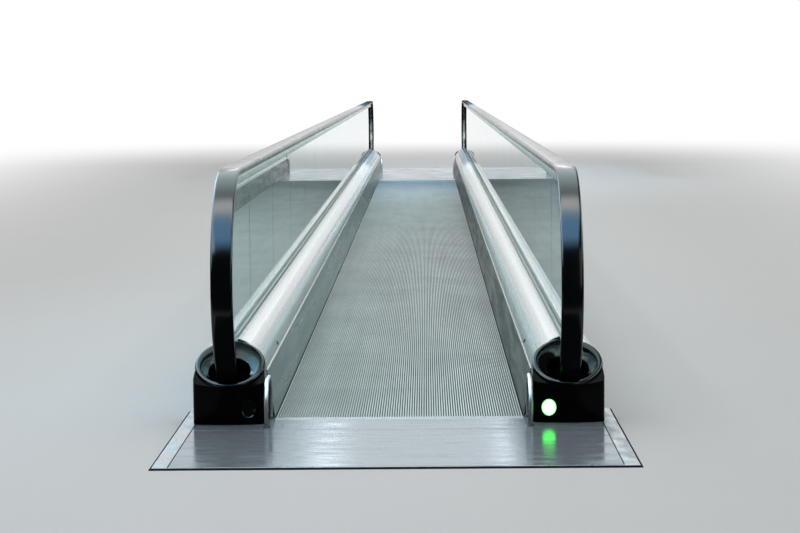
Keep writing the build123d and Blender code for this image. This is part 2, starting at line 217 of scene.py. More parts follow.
def grain_group():
    """Fine grain, drawn out along one axis by its Stretch."""
    tree, given, result = new_group(
        "stretched_grain",
        [("Stretch", "NodeSocketVector", (1, 1, 1)), ("Detail", "NodeSocketFloat", 3)],
        "Grain",
    )
    place = tree.nodes.new("ShaderNodeTexCoord")
    mapping = tree.nodes.new("ShaderNodeMapping")
    noise = tree.nodes.new("ShaderNodeTexNoise")
    noise.inputs["Scale"].default_value = 1
    noise.inputs["Roughness"].default_value = 0.6
    tree.links.new(place.outputs["Object"], mapping.inputs["Vector"])
    tree.links.new(given.outputs["Stretch"], mapping.inputs["Scale"])
    tree.links.new(mapping.outputs["Vector"], noise.inputs["Vector"])
    tree.links.new(given.outputs["Detail"], noise.inputs["Detail"])
    tree.links.new(noise.outputs["Fac"], result.inputs["Grain"])


def smudge_group():
    """Soft worn and dusty patches, from 0 to 1."""
    tree, given, result = new_group(
        "smudge_mask",
        [
            ("Stretch", "NodeSocketVector", (2, 2, 2)),
            ("Low", "NodeSocketFloat", 0.38),
            ("High", "NodeSocketFloat", 0.66),
        ],
        "Mask",
    )
    place = tree.nodes.new("ShaderNodeTexCoord")
    mapping = tree.nodes.new("ShaderNodeMapping")
    noise = tree.nodes.new("ShaderNodeTexNoise")
    noise.inputs["Scale"].default_value = 1
    noise.inputs["Detail"].default_value = 5
    noise.inputs["Distortion"].default_value = 0.4
    spread = tree.nodes.new("ShaderNodeMapRange")
    tree.links.new(place.outputs["Object"], mapping.inputs["Vector"])
    tree.links.new(given.outputs["Stretch"], mapping.inputs["Scale"])
    tree.links.new(mapping.outputs["Vector"], noise.inputs["Vector"])
    tree.links.new(noise.outputs["Fac"], spread.inputs["Value"])
    tree.links.new(given.outputs["Low"], spread.inputs["From Min"])
    tree.links.new(given.outputs["High"], spread.inputs["From Max"])
    tree.links.new(spread.outputs["Result"], result.inputs["Mask"])


def pallet_tone_group():
    """A tone of its own for each pallet, from 0 to 1."""
    tree, given, result = new_group(
        "pallet_tone",
        [("Start", "NodeSocketFloat", 0.0), ("Pitch", "NodeSocketFloat", 0.4)],
        "Tone",
    )
    place = tree.nodes.new("ShaderNodeTexCoord")
    split = tree.nodes.new("ShaderNodeSeparateXYZ")
    offset = tree.nodes.new("ShaderNodeMath")
    offset.operation = "SUBTRACT"
    ratio = tree.nodes.new("ShaderNodeMath")
    ratio.operation = "DIVIDE"
    whole = tree.nodes.new("ShaderNodeMath")
    whole.operation = "FLOOR"
    chance = tree.nodes.new("ShaderNodeTexWhiteNoise")
    chance.noise_dimensions = "1D"
    tree.links.new(place.outputs["Object"], split.inputs["Vector"])
    tree.links.new(split.outputs["Y"], offset.inputs[0])
    tree.links.new(given.outputs["Start"], offset.inputs[1])
    tree.links.new(offset.outputs["Value"], ratio.inputs[0])
    tree.links.new(given.outputs["Pitch"], ratio.inputs[1])
    tree.links.new(ratio.outputs["Value"], whole.inputs[0])
    tree.links.new(whole.outputs["Value"], chance.inputs["W"])
    tree.links.new(chance.outputs["Value"], result.inputs["Tone"])


def painted_shade_group():
    """Mask of painted shade on whatever lies below a level, from 0 to 1."""
    tree, given, result = new_group(
        "painted_shade",
        [("Level", "NodeSocketFloat", 0.0), ("Depth", "NodeSocketFloat", 0.0006)],
        "Mask",
    )
    place = tree.nodes.new("ShaderNodeTexCoord")
    split = tree.nodes.new("ShaderNodeSeparateXYZ")
    below = tree.nodes.new("ShaderNodeMath")
    below.operation = "SUBTRACT"
    share = tree.nodes.new("ShaderNodeMath")
    share.operation = "DIVIDE"
    share.use_clamp = True
    tree.links.new(place.outputs["Object"], split.inputs["Vector"])
    tree.links.new(given.outputs["Level"], below.inputs[0])
    tree.links.new(split.outputs["Z"], below.inputs[1])
    tree.links.new(below.outputs["Value"], share.inputs[0])
    tree.links.new(given.outputs["Depth"], share.inputs[1])
    tree.links.new(share.outputs["Value"], result.inputs["Mask"])


def place_group(tree, name, values):
    """Group node in a material; the group is built the first time it is used."""
    makers = {
        "stretched_grain": grain_group,
        "smudge_mask": smudge_group,
        "pallet_tone": pallet_tone_group,
        "painted_shade": painted_shade_group,
    }
    if name not in bpy.data.node_groups:
        makers[name]()
    node = tree.nodes.new("ShaderNodeGroup")
    node.node_tree = bpy.data.node_groups[name]
    for label, value in values.items():
        node.inputs[label].default_value = value
    return node


# Finishes
def shaded(tone, factor):
    return (*[min(1.0, part * factor) for part in tone], 1.0)


def new_material(name, tone, roughness, metallic=0.0):
    material = bpy.data.materials.new(name)
    material.use_nodes = True
    shader = material.node_tree.nodes["Principled BSDF"]
    shader.inputs["Base Color"].default_value = (*tone, 1.0)
    shader.inputs["Roughness"].default_value = roughness
    shader.inputs["Metallic"].default_value = metallic
    return material, shader


def tint(tree, factor, dark, light):
    """Colour between two tones, by a mask."""
    mix = tree.nodes.new("ShaderNodeMix")
    mix.data_type = "RGBA"
    tree.links.new(factor, mix.inputs["Factor"])
    mix.inputs[6].default_value = dark
    mix.inputs[7].default_value = light
    return mix.outputs[2]


def multiply(tree, first, second):
    mix = tree.nodes.new("ShaderNodeMix")
    mix.data_type = "RGBA"
    mix.blend_type = "MULTIPLY"
    mix.inputs["Factor"].default_value = 1
    tree.links.new(first, mix.inputs[6])
    tree.links.new(second, mix.inputs[7])
    return mix.outputs[2]


def remap(tree, value, low, high):
    """Value from low to high as a mask goes from 0 to 1."""
    node = tree.nodes.new("ShaderNodeMapRange")
    node.inputs["To Min"].default_value = low
    node.inputs["To Max"].default_value = high
    tree.links.new(value, node.inputs["Value"])
    return node.outputs["Result"]


def add_bump(tree, shader, height, depth, strength=1.0):
    bump = tree.nodes.new("ShaderNodeBump")
    bump.inputs["Distance"].default_value = depth
    bump.inputs["Strength"].default_value = strength
    tree.links.new(height, bump.inputs["Height"])
    tree.links.new(bump.outputs["Normal"], shader.inputs["Normal"])


def worn_metal(name, tone, roughness, grain, depth, smudge=(2, 2, 2), contrast=0.12, spread=0.08,
               metallic=1.0, shade_level=None):
    """Metal with a drawn-out grain, duller and darker patches, and painted shade below a level."""
    material, shader = new_material(name, tone, roughness, metallic)
    tree = material.node_tree
    lines = place_group(tree, "stretched_grain", {"Stretch": grain}).outputs["Grain"]
    patches = place_group(tree, "smudge_mask", {"Stretch": smudge}).outputs["Mask"]
    grained = tint(tree, lines, shaded(tone, 1 - contrast), shaded(tone, 1 + contrast))
    dirt_and_shade = tint(tree, patches, (1, 1, 1, 1), shaded((1, 1, 1), 1 - contrast))
    # Painted shade: below the level the colour turns near black (0.04), the metal goes and the finish
    # dulls, for the shade in the gaps.
    if shade_level:
        shade_below = place_group(tree, "painted_shade", {"Level": shade_level}).outputs["Mask"]
        dirt_and_shade = multiply(tree, dirt_and_shade, tint(tree, shade_below, (1, 1, 1, 1), (0.04, 0.04, 0.04, 1)))
        tree.links.new(remap(tree, shade_below, metallic, 0.0), shader.inputs["Metallic"])
    tree.links.new(multiply(tree, grained, dirt_and_shade), shader.inputs["Base Color"])
    rough = remap(tree, patches, roughness - spread / 2, roughness + spread)
    if shade_level:
        rough = math_node(tree, "MAXIMUM", rough, remap(tree, shade_below, 0.0, 0.9))
    tree.links.new(rough, shader.inputs["Roughness"])
    add_bump(tree, shader, lines, depth)
    return material


def rib_metal():
    """Cast ribs, worn bright in soft lanes, a little different from pallet to pallet."""
    tone = colours().rib
    material, shader = new_material("rib_metal", tone, 0.36, 0.85)
    tree = material.node_tree
    lanes = place_group(tree, "stretched_grain", {"Stretch": (14, 0.35, 1)}).outputs["Grain"]
    patches = place_group(tree, "smudge_mask", {"Stretch": (2.4, 1.1, 1)}).outputs["Mask"]
    own = place_group(
        tree, "pallet_tone", {"Start": near_comb, "Pitch": sizes().pallet_pitch}
    ).outputs["Tone"]
    base = tint(tree, lanes, shaded(tone, 0.78), shaded(tone, 1.22))
    worn = tint(tree, patches, (1, 1, 1, 1), shaded((1, 1, 1), 0.86))
    each = tint(tree, own, shaded((1, 1, 1), 0.95), (1, 1, 1, 1))
    tree.links.new(multiply(tree, multiply(tree, base, worn), each), shader.inputs["Base Color"])
    tree.links.new(remap(tree, patches, 0.37, 0.42), shader.inputs["Roughness"])
    cast = place_group(tree, "stretched_grain", {"Stretch": (900, 500, 900)}).outputs["Grain"]
    add_bump(tree, shader, cast, 0.0002)
    return material


def groove_metal():
    return worn_metal("groove_metal", colours().groove, 0.7, (60, 60, 60), 0.0002, metallic=0.3)


def comb_metal():
    return worn_metal("comb_metal", colours().comb, 0.42, (500, 500, 500), 0.0001, metallic=0.85)


def plate_steel():
    """Stainless plate, brushed across the walkway, which draws its reflections out lengthwise."""
    # Faces below the walking level get painted shade.
    material = worn_metal(
        "plate_steel", colours().plate, 0.15, (5, 130, 1), 0.0003, smudge=(3, 14, 1),
        contrast=0.34, spread=0.10, metallic=0.45, shade_level=floor_z - 0.0003,
    )
    shader = material.node_tree.nodes["Principled BSDF"]
    shader.inputs["Specular Tint"].default_value = (0.60, 0.66, 0.68, 1)
    shader.inputs["Specular IOR Level"].default_value = 0.3
    return material


def frame_steel():
    """Edge strips, scuffed by feet and trolleys."""
    # Faces below the walking level get painted shade.
    return worn_metal(
        "frame_steel", colours().frame, 0.34, (180, 9, 60), 0.0002, smudge=(12, 6, 12),
        contrast=0.30, spread=0.20, metallic=0.8, shade_level=floor_z - 0.0003,
    )


def skirt_steel():
    # Faces below the walking level get painted shade.
    return worn_metal(
        "skirt_steel", colours().skirt, 0.30, (90, 3, 260), 0.0001, smudge=(30, 0.8, 14),
        contrast=0.06, spread=0.08, shade_level=floor_z - 0.0005,
    )


def skirt_shaded():
    """The right-hand skirt: a darker copy of the skirt finish, painted shade, with stronger patches."""
    # Faces below the walking level get painted shade.
    return worn_metal(
        "skirt_shaded", colours().skirt_shade_tone, 0.36, (90, 3, 260), 0.0001, smudge=(30, 1.2, 14),
        contrast=0.16, spread=0.12, shade_level=floor_z - 0.0005,
    )


def deck_metal():
    """Polished sheet with long drawn streaks round its curve."""
    material = worn_metal(
        "deck_metal", colours().deck, 0.24, (130, 0.01, 130), 0.00022, smudge=(30, 0.03, 30),
        contrast=0.13, spread=0.08,
    )
    shader = material.node_tree.nodes["Principled BSDF"]
    shader.inputs["Specular Tint"].default_value = (0.90, 0.91, 0.91, 1)
    return material


def trim_metal():
    return worn_metal("trim_metal", colours().trim, 0.16, (60, 2, 60), 0.00005, contrast=0.04)


def cladding_steel():
    return worn_metal(
        "cladding_steel", colours().frame, 0.34, (6, 2.5, 420), 0.0001, smudge=(3, 1.2, 3),
    )


def clamp_metal():
    return worn_metal(
        "clamp_metal", colours().clamp, 0.42, (240, 1.2, 240), 0.0001, smudge=(20, 0.3, 20),
        contrast=0.06, spread=0.04, metallic=0.6,
    )


def guide_metal():
    return worn_metal(
        "guide_metal", colours().guide, 0.26, (300, 6, 300), 0.00006, smudge=(40, 1, 40),
        contrast=0.04, spread=0.02,
    )


def hoop_steel():
    return worn_metal(
        "hoop_steel", colours().hoop, 0.42, (120, 120, 700), 0.00002, smudge=(20, 20, 20),
        contrast=0.05, spread=0.04,
    )


def track_steel():
    return worn_metal("track_steel", colours().comb, 0.45, (40, 4, 40), 0.0002)


def bed_paint():
    """Satin paint with dust lying in patches."""
    return worn_metal(
        "bed_paint", colours().bed, 0.5, (300, 300, 300), 0.0002, smudge=(3, 1, 3), metallic=0.0,
    )


def pane_glass():
    """Clear toughened glass with a green-blue tint and barely seen hand marks."""
    material, shader = new_material("pane_glass", colours().glass, 0.0)
    shader.inputs["Transmission Weight"].default_value = 1.0
    shader.inputs["IOR"].default_value = 1.5
    tree = material.node_tree
    marks = place_group(tree, "smudge_mask", {"Stretch": (1, 5, 4)}).outputs["Mask"]
    glass = colours().glass
    tree.links.new(
        tint(tree, marks, shaded(glass, 1.0), shaded(glass, 0.985)), shader.inputs["Base Color"]
    )
    return material


def rail_rubber():
    """Glossy black handrail, a little dulled by hands."""
    material, shader = new_material("rail_rubber", colours().handrail, 0.17)
    shader.inputs["Specular IOR Level"].default_value = 0.5
    tree = material.node_tree
    lines = place_group(tree, "stretched_grain", {"Stretch": (160, 3, 3)}).outputs["Grain"]
    patches = place_group(tree, "smudge_mask", {"Stretch": (9, 5, 5)}).outputs["Mask"]
    fresh = remap(tree, patches, 0.14, 0.20)
    place = tree.nodes.new("ShaderNodeTexCoord")
    split = tree.nodes.new("ShaderNodeSeparateXYZ")
    tree.links.new(place.outputs["Object"], split.inputs["Vector"])
    newel_y = newel_place()[1]
    straight = math_node(tree, "SUBTRACT", 1.0, soft_step(
        tree, math_node(tree, "ABSOLUTE", split.outputs["Y"], 0), newel_y - 0.3, newel_y + 0.1
    ))
    tree.links.new(
        math_node(tree, "ADD", fresh, math_node(tree, "MULTIPLY", straight, 0.06)),
        shader.inputs["Roughness"]
    )
    add_bump(tree, shader, lines, 0.00008)
    return material


def gloss_shell(name, specular):
    """Moulded black gloss plastic with faint wipe marks."""
    material, shader = new_material(name, colours().cap, 0.08)
    shader.inputs["Specular IOR Level"].default_value = specular
    tree = material.node_tree
    wipes = place_group(tree, "smudge_mask", {"Stretch": (14, 9, 6)}).outputs["Mask"]
    swell = place_group(tree, "stretched_grain", {"Stretch": (22, 22, 22)}).outputs["Grain"]
    tree.links.new(remap(tree, wipes, 0.05, 0.17), shader.inputs["Roughness"])
    add_bump(tree, shader, swell, 0.0002)
    return material


def cap_plastic():
    return gloss_shell("cap_plastic", 0.04)


def collar_plastic():
    return gloss_shell("collar_plastic", 0.38)


def lamp_green():
    """Lit lens: a white-hot core inside a green rim, as far out as the lens is round."""
    material, shader = new_material("lamp_green", colours().lamp_rim, 0.25)
    shader.inputs["Emission Strength"].default_value = 6.0
    tree = material.node_tree
    facing = tree.nodes.new("ShaderNodeVertexColor")
    facing.layer_name = "core"
    glow = tint(tree, facing.outputs["Color"], (*colours().lamp_rim, 1), (*colours().lamp_core, 1))
    rays = tree.nodes.new("ShaderNodeLightPath")
    seen = tint(tree, rays.outputs["Is Camera Ray"], (0.10, 0.45, 0.10, 1), (1, 1, 1, 1))
    glow = multiply(tree, glow, seen)
    tree.links.new(glow, shader.inputs["Emission Color"])
    return material


def lamp_dark():
    """Unlit lens, smoked and moulded with fine ribs."""
    material, shader = new_material("lamp_dark", colours().lens, 0.10)
    tree = material.node_tree
    moulding = place_group(tree, "stretched_grain", {"Stretch": (700, 700, 90)}).outputs["Grain"]
    add_bump(tree, shader, moulding, 0.0001)
    return material


def seal_rubber():
    material, shader = new_material("seal_rubber", colours().seal, 0.55)
    tree = material.node_tree
    dust = place_group(tree, "smudge_mask", {"Stretch": (30, 4, 30)}).outputs["Mask"]
    seal = colours().seal
    tree.links.new(
        tint(tree, dust, shaded(seal, 0.8), shaded(seal, 1.2)), shader.inputs["Base Color"]
    )
    return material


def joint_black():
    """Dark filler between two panes, a little dusty."""
    material, shader = new_material("joint_black", (0.015, 0.02, 0.02), 0.6)
    tree = material.node_tree
    dust = place_group(tree, "smudge_mask", {"Stretch": (60, 60, 8)}).outputs["Mask"]
    tree.links.new(
        tint(tree, dust, (0.015, 0.02, 0.02, 1), (0.03, 0.035, 0.035, 1)),
        shader.inputs["Base Color"]
    )
    return material


FINISHES = {
    "rib_metal": rib_metal,
    "pallet_metal": groove_metal,
    "comb_metal": comb_metal,
    "plate_steel": plate_steel,
    "frame_steel": frame_steel,
    "skirt_steel": skirt_steel,
    "deck_metal": deck_metal,
    "trim_metal": trim_metal,
    "cladding_steel": cladding_steel,
    "clamp_metal": clamp_metal,
    "guide_metal": guide_metal,
    "hoop_steel": hoop_steel,
    "track_steel": track_steel,
    "bed_paint": bed_paint,
    "pane_glass": pane_glass,
    "rail_rubber": rail_rubber,
    "cap_plastic": cap_plastic,
    "collar_plastic": collar_plastic,
    "lamp_green": lamp_green,
    "lamp_dark": lamp_dark,
    "seal_rubber": seal_rubber,
    "joint_black": joint_black,
    "skirt_shaded": skirt_shaded,
}
made_finishes = {}


def finish(slot):
    """Material of a slot, made the first time it is asked for."""
    if slot not in made_finishes:
        made_finishes[slot] = FINISHES[slot]()
    return made_finishes[slot]


def coat_nodes(slot, *nodes):
    """Gives CAD nodes that stay in view their finish."""
    for node in nodes:
        mesh = frame["nodes"][node].data
        mesh.materials.clear()
        mesh.materials.append(finish(slot))


# Shape helpers
def add_piece(bm, name, slot, replaced=(), smooth=30, finish_name=None):
    """Makes a piece of a bmesh, rides it on the fixed body and names its finish."""
    bmesh.ops.recalc_face_normals(bm, faces=bm.faces)
    mesh = bpy.data.meshes.new(name)
    bm.to_mesh(mesh)
    bm.free()
    mesh.shade_smooth()
    mesh.set_sharp_from_angle(angle=math.radians(smooth))
    mesh.materials.append(finish(finish_name or slot))
    piece = bpy.data.objects.new(name, mesh)
    bpy.context.scene.collection.objects.link(piece)
    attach(piece, BODY)
    if replaced:
        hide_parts(*replaced)
    return piece


def soften_node(node, slot, width, segments=2, smooth=30):
    """Merged copy of a CAD node with its edges broken by a small bevel."""
    bm = bmesh.new()
    bm.from_mesh(frame["nodes"][node].data)
    bmesh.ops.remove_doubles(bm, verts=bm.verts, dist=0.00002)
    bmesh.ops.dissolve_limit(
        bm, angle_limit=math.radians(0.5), verts=bm.verts, edges=bm.edges
    )
    bmesh.ops.scale(bm, verts=bm.verts, vec=(0.99997, 1, 1))
    piece = add_piece(bm, node + "_dressed", slot, (node,), smooth)
    bevel = piece.modifiers.new("broken_edges", "BEVEL")
    bevel.width = width
    bevel.segments = segments
    bevel.limit_method = "ANGLE"
    bevel.angle_limit = math.radians(smooth)
    bevel.use_clamp_overlap = True
    bevel.harden_normals = True
    return piece


def edges_of(geometry):
    return [item for item in geometry if isinstance(item, bmesh.types.BMEdge)]


def verts_of(geometry):
    return [item for item in geometry if isinstance(item, bmesh.types.BMVert)]


def drag(bm, edges, vector):
    """Extrudes edges by a vector and gives the new far edges."""
    made = bmesh.ops.extrude_edge_only(bm, edges=edges)["geom"]
    bmesh.ops.translate(bm, verts=verts_of(made), vec=vector)
    return edges_of(made)


def turn(bm, edges, centre, axis, by, steps):
    """Spins edges round an axis and gives the last ones."""
    made = bmesh.ops.spin(bm, geom=edges, cent=centre, axis=axis, angle=by, steps=steps)
    return edges_of(made["geom_last"])


def section_loop(bm, corners, y, rounding=None, segments=5):
    """Closed outline in an upright plane across the walkway; rounding maps corners to radii."""
    verts = [bm.verts.new((x, y, z)) for x, z in corners]
    bm.faces.new(verts)
    for radius in sorted(set((rounding or {}).values())):
        chosen = [verts[k] for k, r in rounding.items() if r == radius]
        bmesh.ops.bevel(
            bm, geom=chosen, offset=radius, affect="VERTICES", segments=segments, profile=0.5,
            material=-1,
        )
    bmesh.ops.delete(bm, geom=bm.faces[:], context="FACES_ONLY")
    return bm.edges[:]


def newel_place():
    """Height and distance from the middle of the newels' centres."""
    return rail_high.z - sizes().newel_radius, rail_high.y - sizes().newel_radius


def sweep_round_newels(bm, section, x):
    """Runs a section from the top of the far newel round both newels, and closes its ends."""
    newel_z, newel_y = newel_place()
    wrap = sizes().newel_wrap
    steps = 56
    near = drag(bm, section, (0, -2 * newel_y, 0))
    ends = [
        turn(bm, section, (x, newel_y, newel_z), (-1, 0, 0), wrap, steps),
        turn(bm, near, (x, -newel_y, newel_z), (1, 0, 0), wrap, steps),
    ]
    for end in ends:
        bmesh.ops.contextual_create(bm, geom=end)


def slope_point(end):
    """Middle of a cap's tilted face, without its place across."""
    return end * -(near_comb - sizes().slope_reach), floor_z + sizes().slope_height


def slope_normal(end):
    tilt = sizes().slope_angle
    return Vector((0, end * math.cos(tilt), math.sin(tilt)))


def slope_matrix(side, end):
    """Frame on a cap's tilted face: Z out of it, Y up the slope."""
    y, z = slope_point(end)
    normal = slope_normal(end)
    across = Vector((1, 0, 0))
    up = normal.cross(across)
    if up.z < 0:
        across = -across
        up = -up
    turned = Matrix((across, up, normal)).transposed().to_4x4()
    return Matrix.Translation((side * deck_x, y, z)) @ turned


def cut_by_slopes(bm):
    """Cuts closed sheets by the tilted faces of both ends and closes the cuts."""
    for end in ENDS.values():
        y, z = slope_point(end)
        cut = bmesh.ops.bisect_plane(
            bm, geom=bm.verts[:] + bm.edges[:] + bm.faces[:], plane_co=(0, y, z),
            plane_no=slope_normal(end), clear_outer=True,
        )
        bmesh.ops.holes_fill(bm, edges=edges_of(cut["geom_cut"]))


def spans(start, end, count, gap):
    """Equal lengths that fill start to end, with a gap between neighbours."""
    step = (end - start + gap) / count
    return [(start + k * step, start + (k + 1) * step - gap) for k in range(count)]


def ring(bm, radius, height, across=0.0, segments=96):
    """Circle at a height, moved across by an offset along Y; gives its edges."""
    made = bmesh.ops.create_circle(bm, segments=segments, radius=radius)
    bmesh.ops.translate(bm, verts=made["verts"], vec=(0, across, height))
    return list({edge for vert in made["verts"] for edge in vert.link_edges})


def stack_rings(bm, rings):
    """Joins circles one after the other; each is (radius, height, offset)."""
    loops = [ring(bm, radius, height, offset) for radius, height, offset in rings]
    for lower, upper in zip(loops, loops[1:]):
        bmesh.ops.bridge_loops(bm, edges=lower + upper)
    return loops


# Pallet band and landings
def one_rib(bm, x, y_range):
    """Rib with a chamfered top and no bottom face."""
    start, end = y_range
    made = bmesh.ops.create_cube(bm, size=1.0)["verts"]
    bmesh.ops.scale(bm, verts=made, vec=(sizes().rib_width, end - start, floor_z - band_high.z))
    bmesh.ops.translate(bm, verts=made, vec=(x, (start + end) / 2, (floor_z + band_high.z) / 2))
    bottom = [f for f in bm.faces if f.normal.z < -0.5]
    bmesh.ops.delete(bm, geom=bottom, context="FACES_ONLY")
    top = [f for f in bm.faces if f.normal.z > 0.5][0]
    bmesh.ops.bevel(
        bm, geom=list(top.edges), offset=sizes().rib_chamfer, affect="EDGES", segments=1,
        profile=0.5, material=-1,
    )


def lay_tread():
    """Ribs of the whole band, broken at each pallet joint."""
    pitch = sizes().rib_pitch
    width = band_high.x - band_low.x
    bm = bmesh.new()
    gap = sizes().pallet_joint
    one_rib(bm, -width / 2 + pitch / 2, (near_comb, near_comb + sizes().pallet_pitch - gap))
    rib = bm.verts[:] + bm.edges[:] + bm.faces[:]
    for k in range(1, round(width / pitch)):
        copy = bmesh.ops.duplicate(bm, geom=rib)["geom"]
        bmesh.ops.translate(bm, verts=verts_of(copy), vec=(k * pitch, 0, 0))
    pallet = bm.verts[:] + bm.edges[:] + bm.faces[:]
    for k in range(1, round((far_comb - near_comb) / sizes().pallet_pitch)):
        copy = bmesh.ops.duplicate(bm, geom=pallet)["geom"]
        bmesh.ops.translate(bm, verts=verts_of(copy), vec=(0, k * sizes().pallet_pitch, 0))
    add_piece(bm, "tread_dressed", "rib_metal", ("tread_ribs",))
    coat_nodes("pallet_metal", "pallets")
    coat_nodes("track_steel", "pallet_tracks")


def screw(bm, place, normal, radius):
    """Low round head with a sunk middle, standing on a surface."""
    rise = radius * 0.3
    turned = normal.to_track_quat("Z", "Y").to_matrix().to_4x4()
    matrix = Matrix.Translation(place) @ turned
    part = bmesh.new()
    loops = stack_rings_small(part, radius, rise)
    bmesh.ops.contextual_create(part, geom=loops[-1])
    bmesh.ops.transform(part, matrix=matrix, verts=part.verts)
    held = bpy.data.meshes.new("screw_part")
    part.to_mesh(held)
    part.free()
    bm.from_mesh(held)
    bpy.data.meshes.remove(held)


def stack_rings_small(part, radius, rise):
    """Rings of a screw head: an edge, a rounded shoulder and a sunk middle."""
    profile = [(1.0, 0.0), (0.97, 0.6), (0.8, 1.0), (0.45, 1.0), (0.38, 0.2)]
    loops = [ring(part, radius * wide, rise * high, segments=16) for wide, high in profile]
    for lower, upper in zip(loops, loops[1:]):
        bmesh.ops.bridge_loops(part, edges=lower + upper)
    return loops


def lay_landings():
    """Combs, plates, frames and their screws."""
    for end, sign in ENDS.items():
        soften_node("floor_plate_" + end, "plate_steel", sizes().fine_edge)
        soften_node("comb_plate_" + end, "plate_steel", sizes().fine_edge)
        soften_node("landing_frame_" + end, "frame_steel", sizes().fine_edge)
        coat_nodes("comb_metal", "combs_" + end)
        comb = near_comb if sign < 0 else far_comb
        bm = bmesh.new()
        for x in (-0.46, 0.46):
            place = Vector((x, comb + sign * 0.18, floor_z))
            screw(bm, place, Vector((0, 0, 1)), 1.3 * sizes().screw_head)
        segment = (band_high.x - band_low.x) / 5
        for k in range(5):
            for shift in (-0.055, 0.055):
                x = band_low.x + (k + 0.5) * segment + shift
                place = Vector((x, comb + sign * 0.036, floor_z))
                screw(bm, place, Vector((0, 0, 1)), sizes().screw_head)
        add_piece(bm, "comb_screws_" + end, "comb_metal")


# Balustrade base
def deck_arc(side, inner):
    """Start and end of a deck's arc as angles about its axis, measured from the level."""
    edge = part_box("deck_trims")[1].z
    slot = clamp_high.x if not inner else clamp_low.x
    low = math.asin((edge - sizes().deck_axis) / deck_radius)
    reach = abs(slot - deck_x) / deck_radius
    high = math.acos(min(1.0, reach))
    return low, high


def roll_deck(side_name, inner):
    """Quarter-round sheet in panels, cut at a tilt behind the end caps."""
    side = SIDES[side_name]
    kind = "inner_deck_" if inner else "outer_deck_"
    low, high = deck_arc(side, inner)
    outward = side if not inner else -side
    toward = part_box(kind + side_name)
    bm = bmesh.new()
    for start, end in spans(toward[0].y, toward[1].y, sizes().deck_panels, sizes().deck_joint):
        panel = bmesh.new()
        x = side * deck_x + outward * deck_radius * math.cos(low)
        foot = panel.verts.new((x, start, sizes().deck_axis + deck_radius * math.sin(low)))
        centre = (side * deck_x, start, sizes().deck_axis)
        crossing = high if not inner or clamp_low.x > deck_x else math.pi - high
        turn(panel, [foot], centre, (0, -outward, 0), crossing - low, 28)
        drag(panel, panel.edges[:], (0, end - start, 0))
        bmesh.ops.recalc_face_normals(panel, faces=panel.faces)
        middle = panel.faces[len(panel.faces) // 2]
        away = middle.calc_center_median() - Vector((side * deck_x, (start + end) / 2, sizes().deck_axis))
        if middle.normal.dot(away) < 0:
            bmesh.ops.reverse_faces(panel, faces=panel.faces)
        bmesh.ops.solidify(panel, geom=panel.faces[:], thickness=sizes().deck_sheet)
        held = bpy.data.meshes.new("deck_panel")
        panel.to_mesh(held)
        panel.free()
        bm.from_mesh(held)
        bpy.data.meshes.remove(held)
    cut_by_slopes(bm)
    add_piece(bm, kind + side_name + "_dressed", "deck_metal", (kind + side_name,))


def deck_point(side, y, lift):
    """Point on the inner deck's curve at an angle over its axis, with the normal there."""
    normal = Vector((-side * math.cos(lift), 0, math.sin(lift)))
    return Vector((side * deck_x, y, sizes().deck_axis)) + normal * deck_radius, normal


def fit_deck_details(side_name):
    """Screws along the inner deck and the small photocells beside the combs."""
    side = SIDES[side_name]
    bm = bmesh.new()
    first = near_comb + 1.48
    count = int((-first - first) / sizes().screw_pitch) + 1
    for k in range(count):
        place, normal = deck_point(side, first + k * sizes().screw_pitch, math.radians(22))
        screw(bm, place, normal, sizes().screw_head)
    add_piece(bm, "deck_screws_" + side_name, "deck_metal")
    bm = bmesh.new()
    for y in (near_comb + 0.71, -near_comb - 0.71):
        place, normal = deck_point(side, y, math.radians(17))
        screw(bm, place, normal, 2 * sizes().screw_head)
    add_piece(bm, "photocells_" + side_name, "cap_plastic")


def build_base():
    for side in SIDES:
        roll_deck(side, inner=True)
        roll_deck(side, inner=False)
        fit_deck_details(side)
        # The right-hand skirt gets the darker copy of the finish, painted shade.
        coat_nodes("skirt_steel" if side == "left" else "skirt_shaded", "skirt_" + side)
        coat_nodes("cladding_steel", "outer_cladding_" + side)
        soften_node("glass_clamp_" + side, "clamp_metal", sizes().edge)
    soften_node("deck_trims", "trim_metal", sizes().edge)
    coat_nodes("bed_paint", "truss_pan")


# Glass, guides and handrails
def pane_joints(name):
    """Thin dark strips in the joints between the straight panes."""
    low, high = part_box("glass_" + name)
    newel_z, newel_y = newel_place()
    bm = bmesh.new()
    for start, end in pane_gaps(name):
        made = bmesh.ops.create_cube(bm, size=1.0)["verts"]
        tall = high.z - 0.004 - clamp_high.z
        wide = end - start + 0.002
        bmesh.ops.scale(bm, verts=made, vec=(high.x - low.x - 0.001, wide, tall))
        bmesh.ops.translate(bm, verts=made, vec=(
            (low.x + high.x) / 2, (start + end) / 2, clamp_high.z + tall / 2
        ))
    bmesh.ops.bevel(
        bm, geom=bm.edges[:], offset=0.0004, affect="EDGES", segments=1, profile=0.5, material=-1,
    )
    add_piece(bm, "pane_joints_" + name, "rail_rubber", finish_name="joint_black")


def pane_gaps(name):
    """Joints between the panes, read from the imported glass."""
    mesh = frame["nodes"]["glass_" + name].data
    bm = bmesh.new()
    bm.from_mesh(mesh)
    bmesh.ops.remove_doubles(bm, verts=bm.verts, dist=0.00002)
    runs = []
    left = set(bm.verts)
    while left:
        island, edge = [], [left.pop()]
        while edge:
            vert = edge.pop()
            island.append(vert)
            for other in [e.other_vert(vert) for e in vert.link_edges]:
                if other in left:
                    left.remove(other)
                    edge.append(other)
        places = [vert.co.y for vert in island]
        runs.append((min(places), max(places)))
    bm.free()
    runs.sort()
    return [(first[1], second[0]) for first, second in zip(runs, runs[1:])]


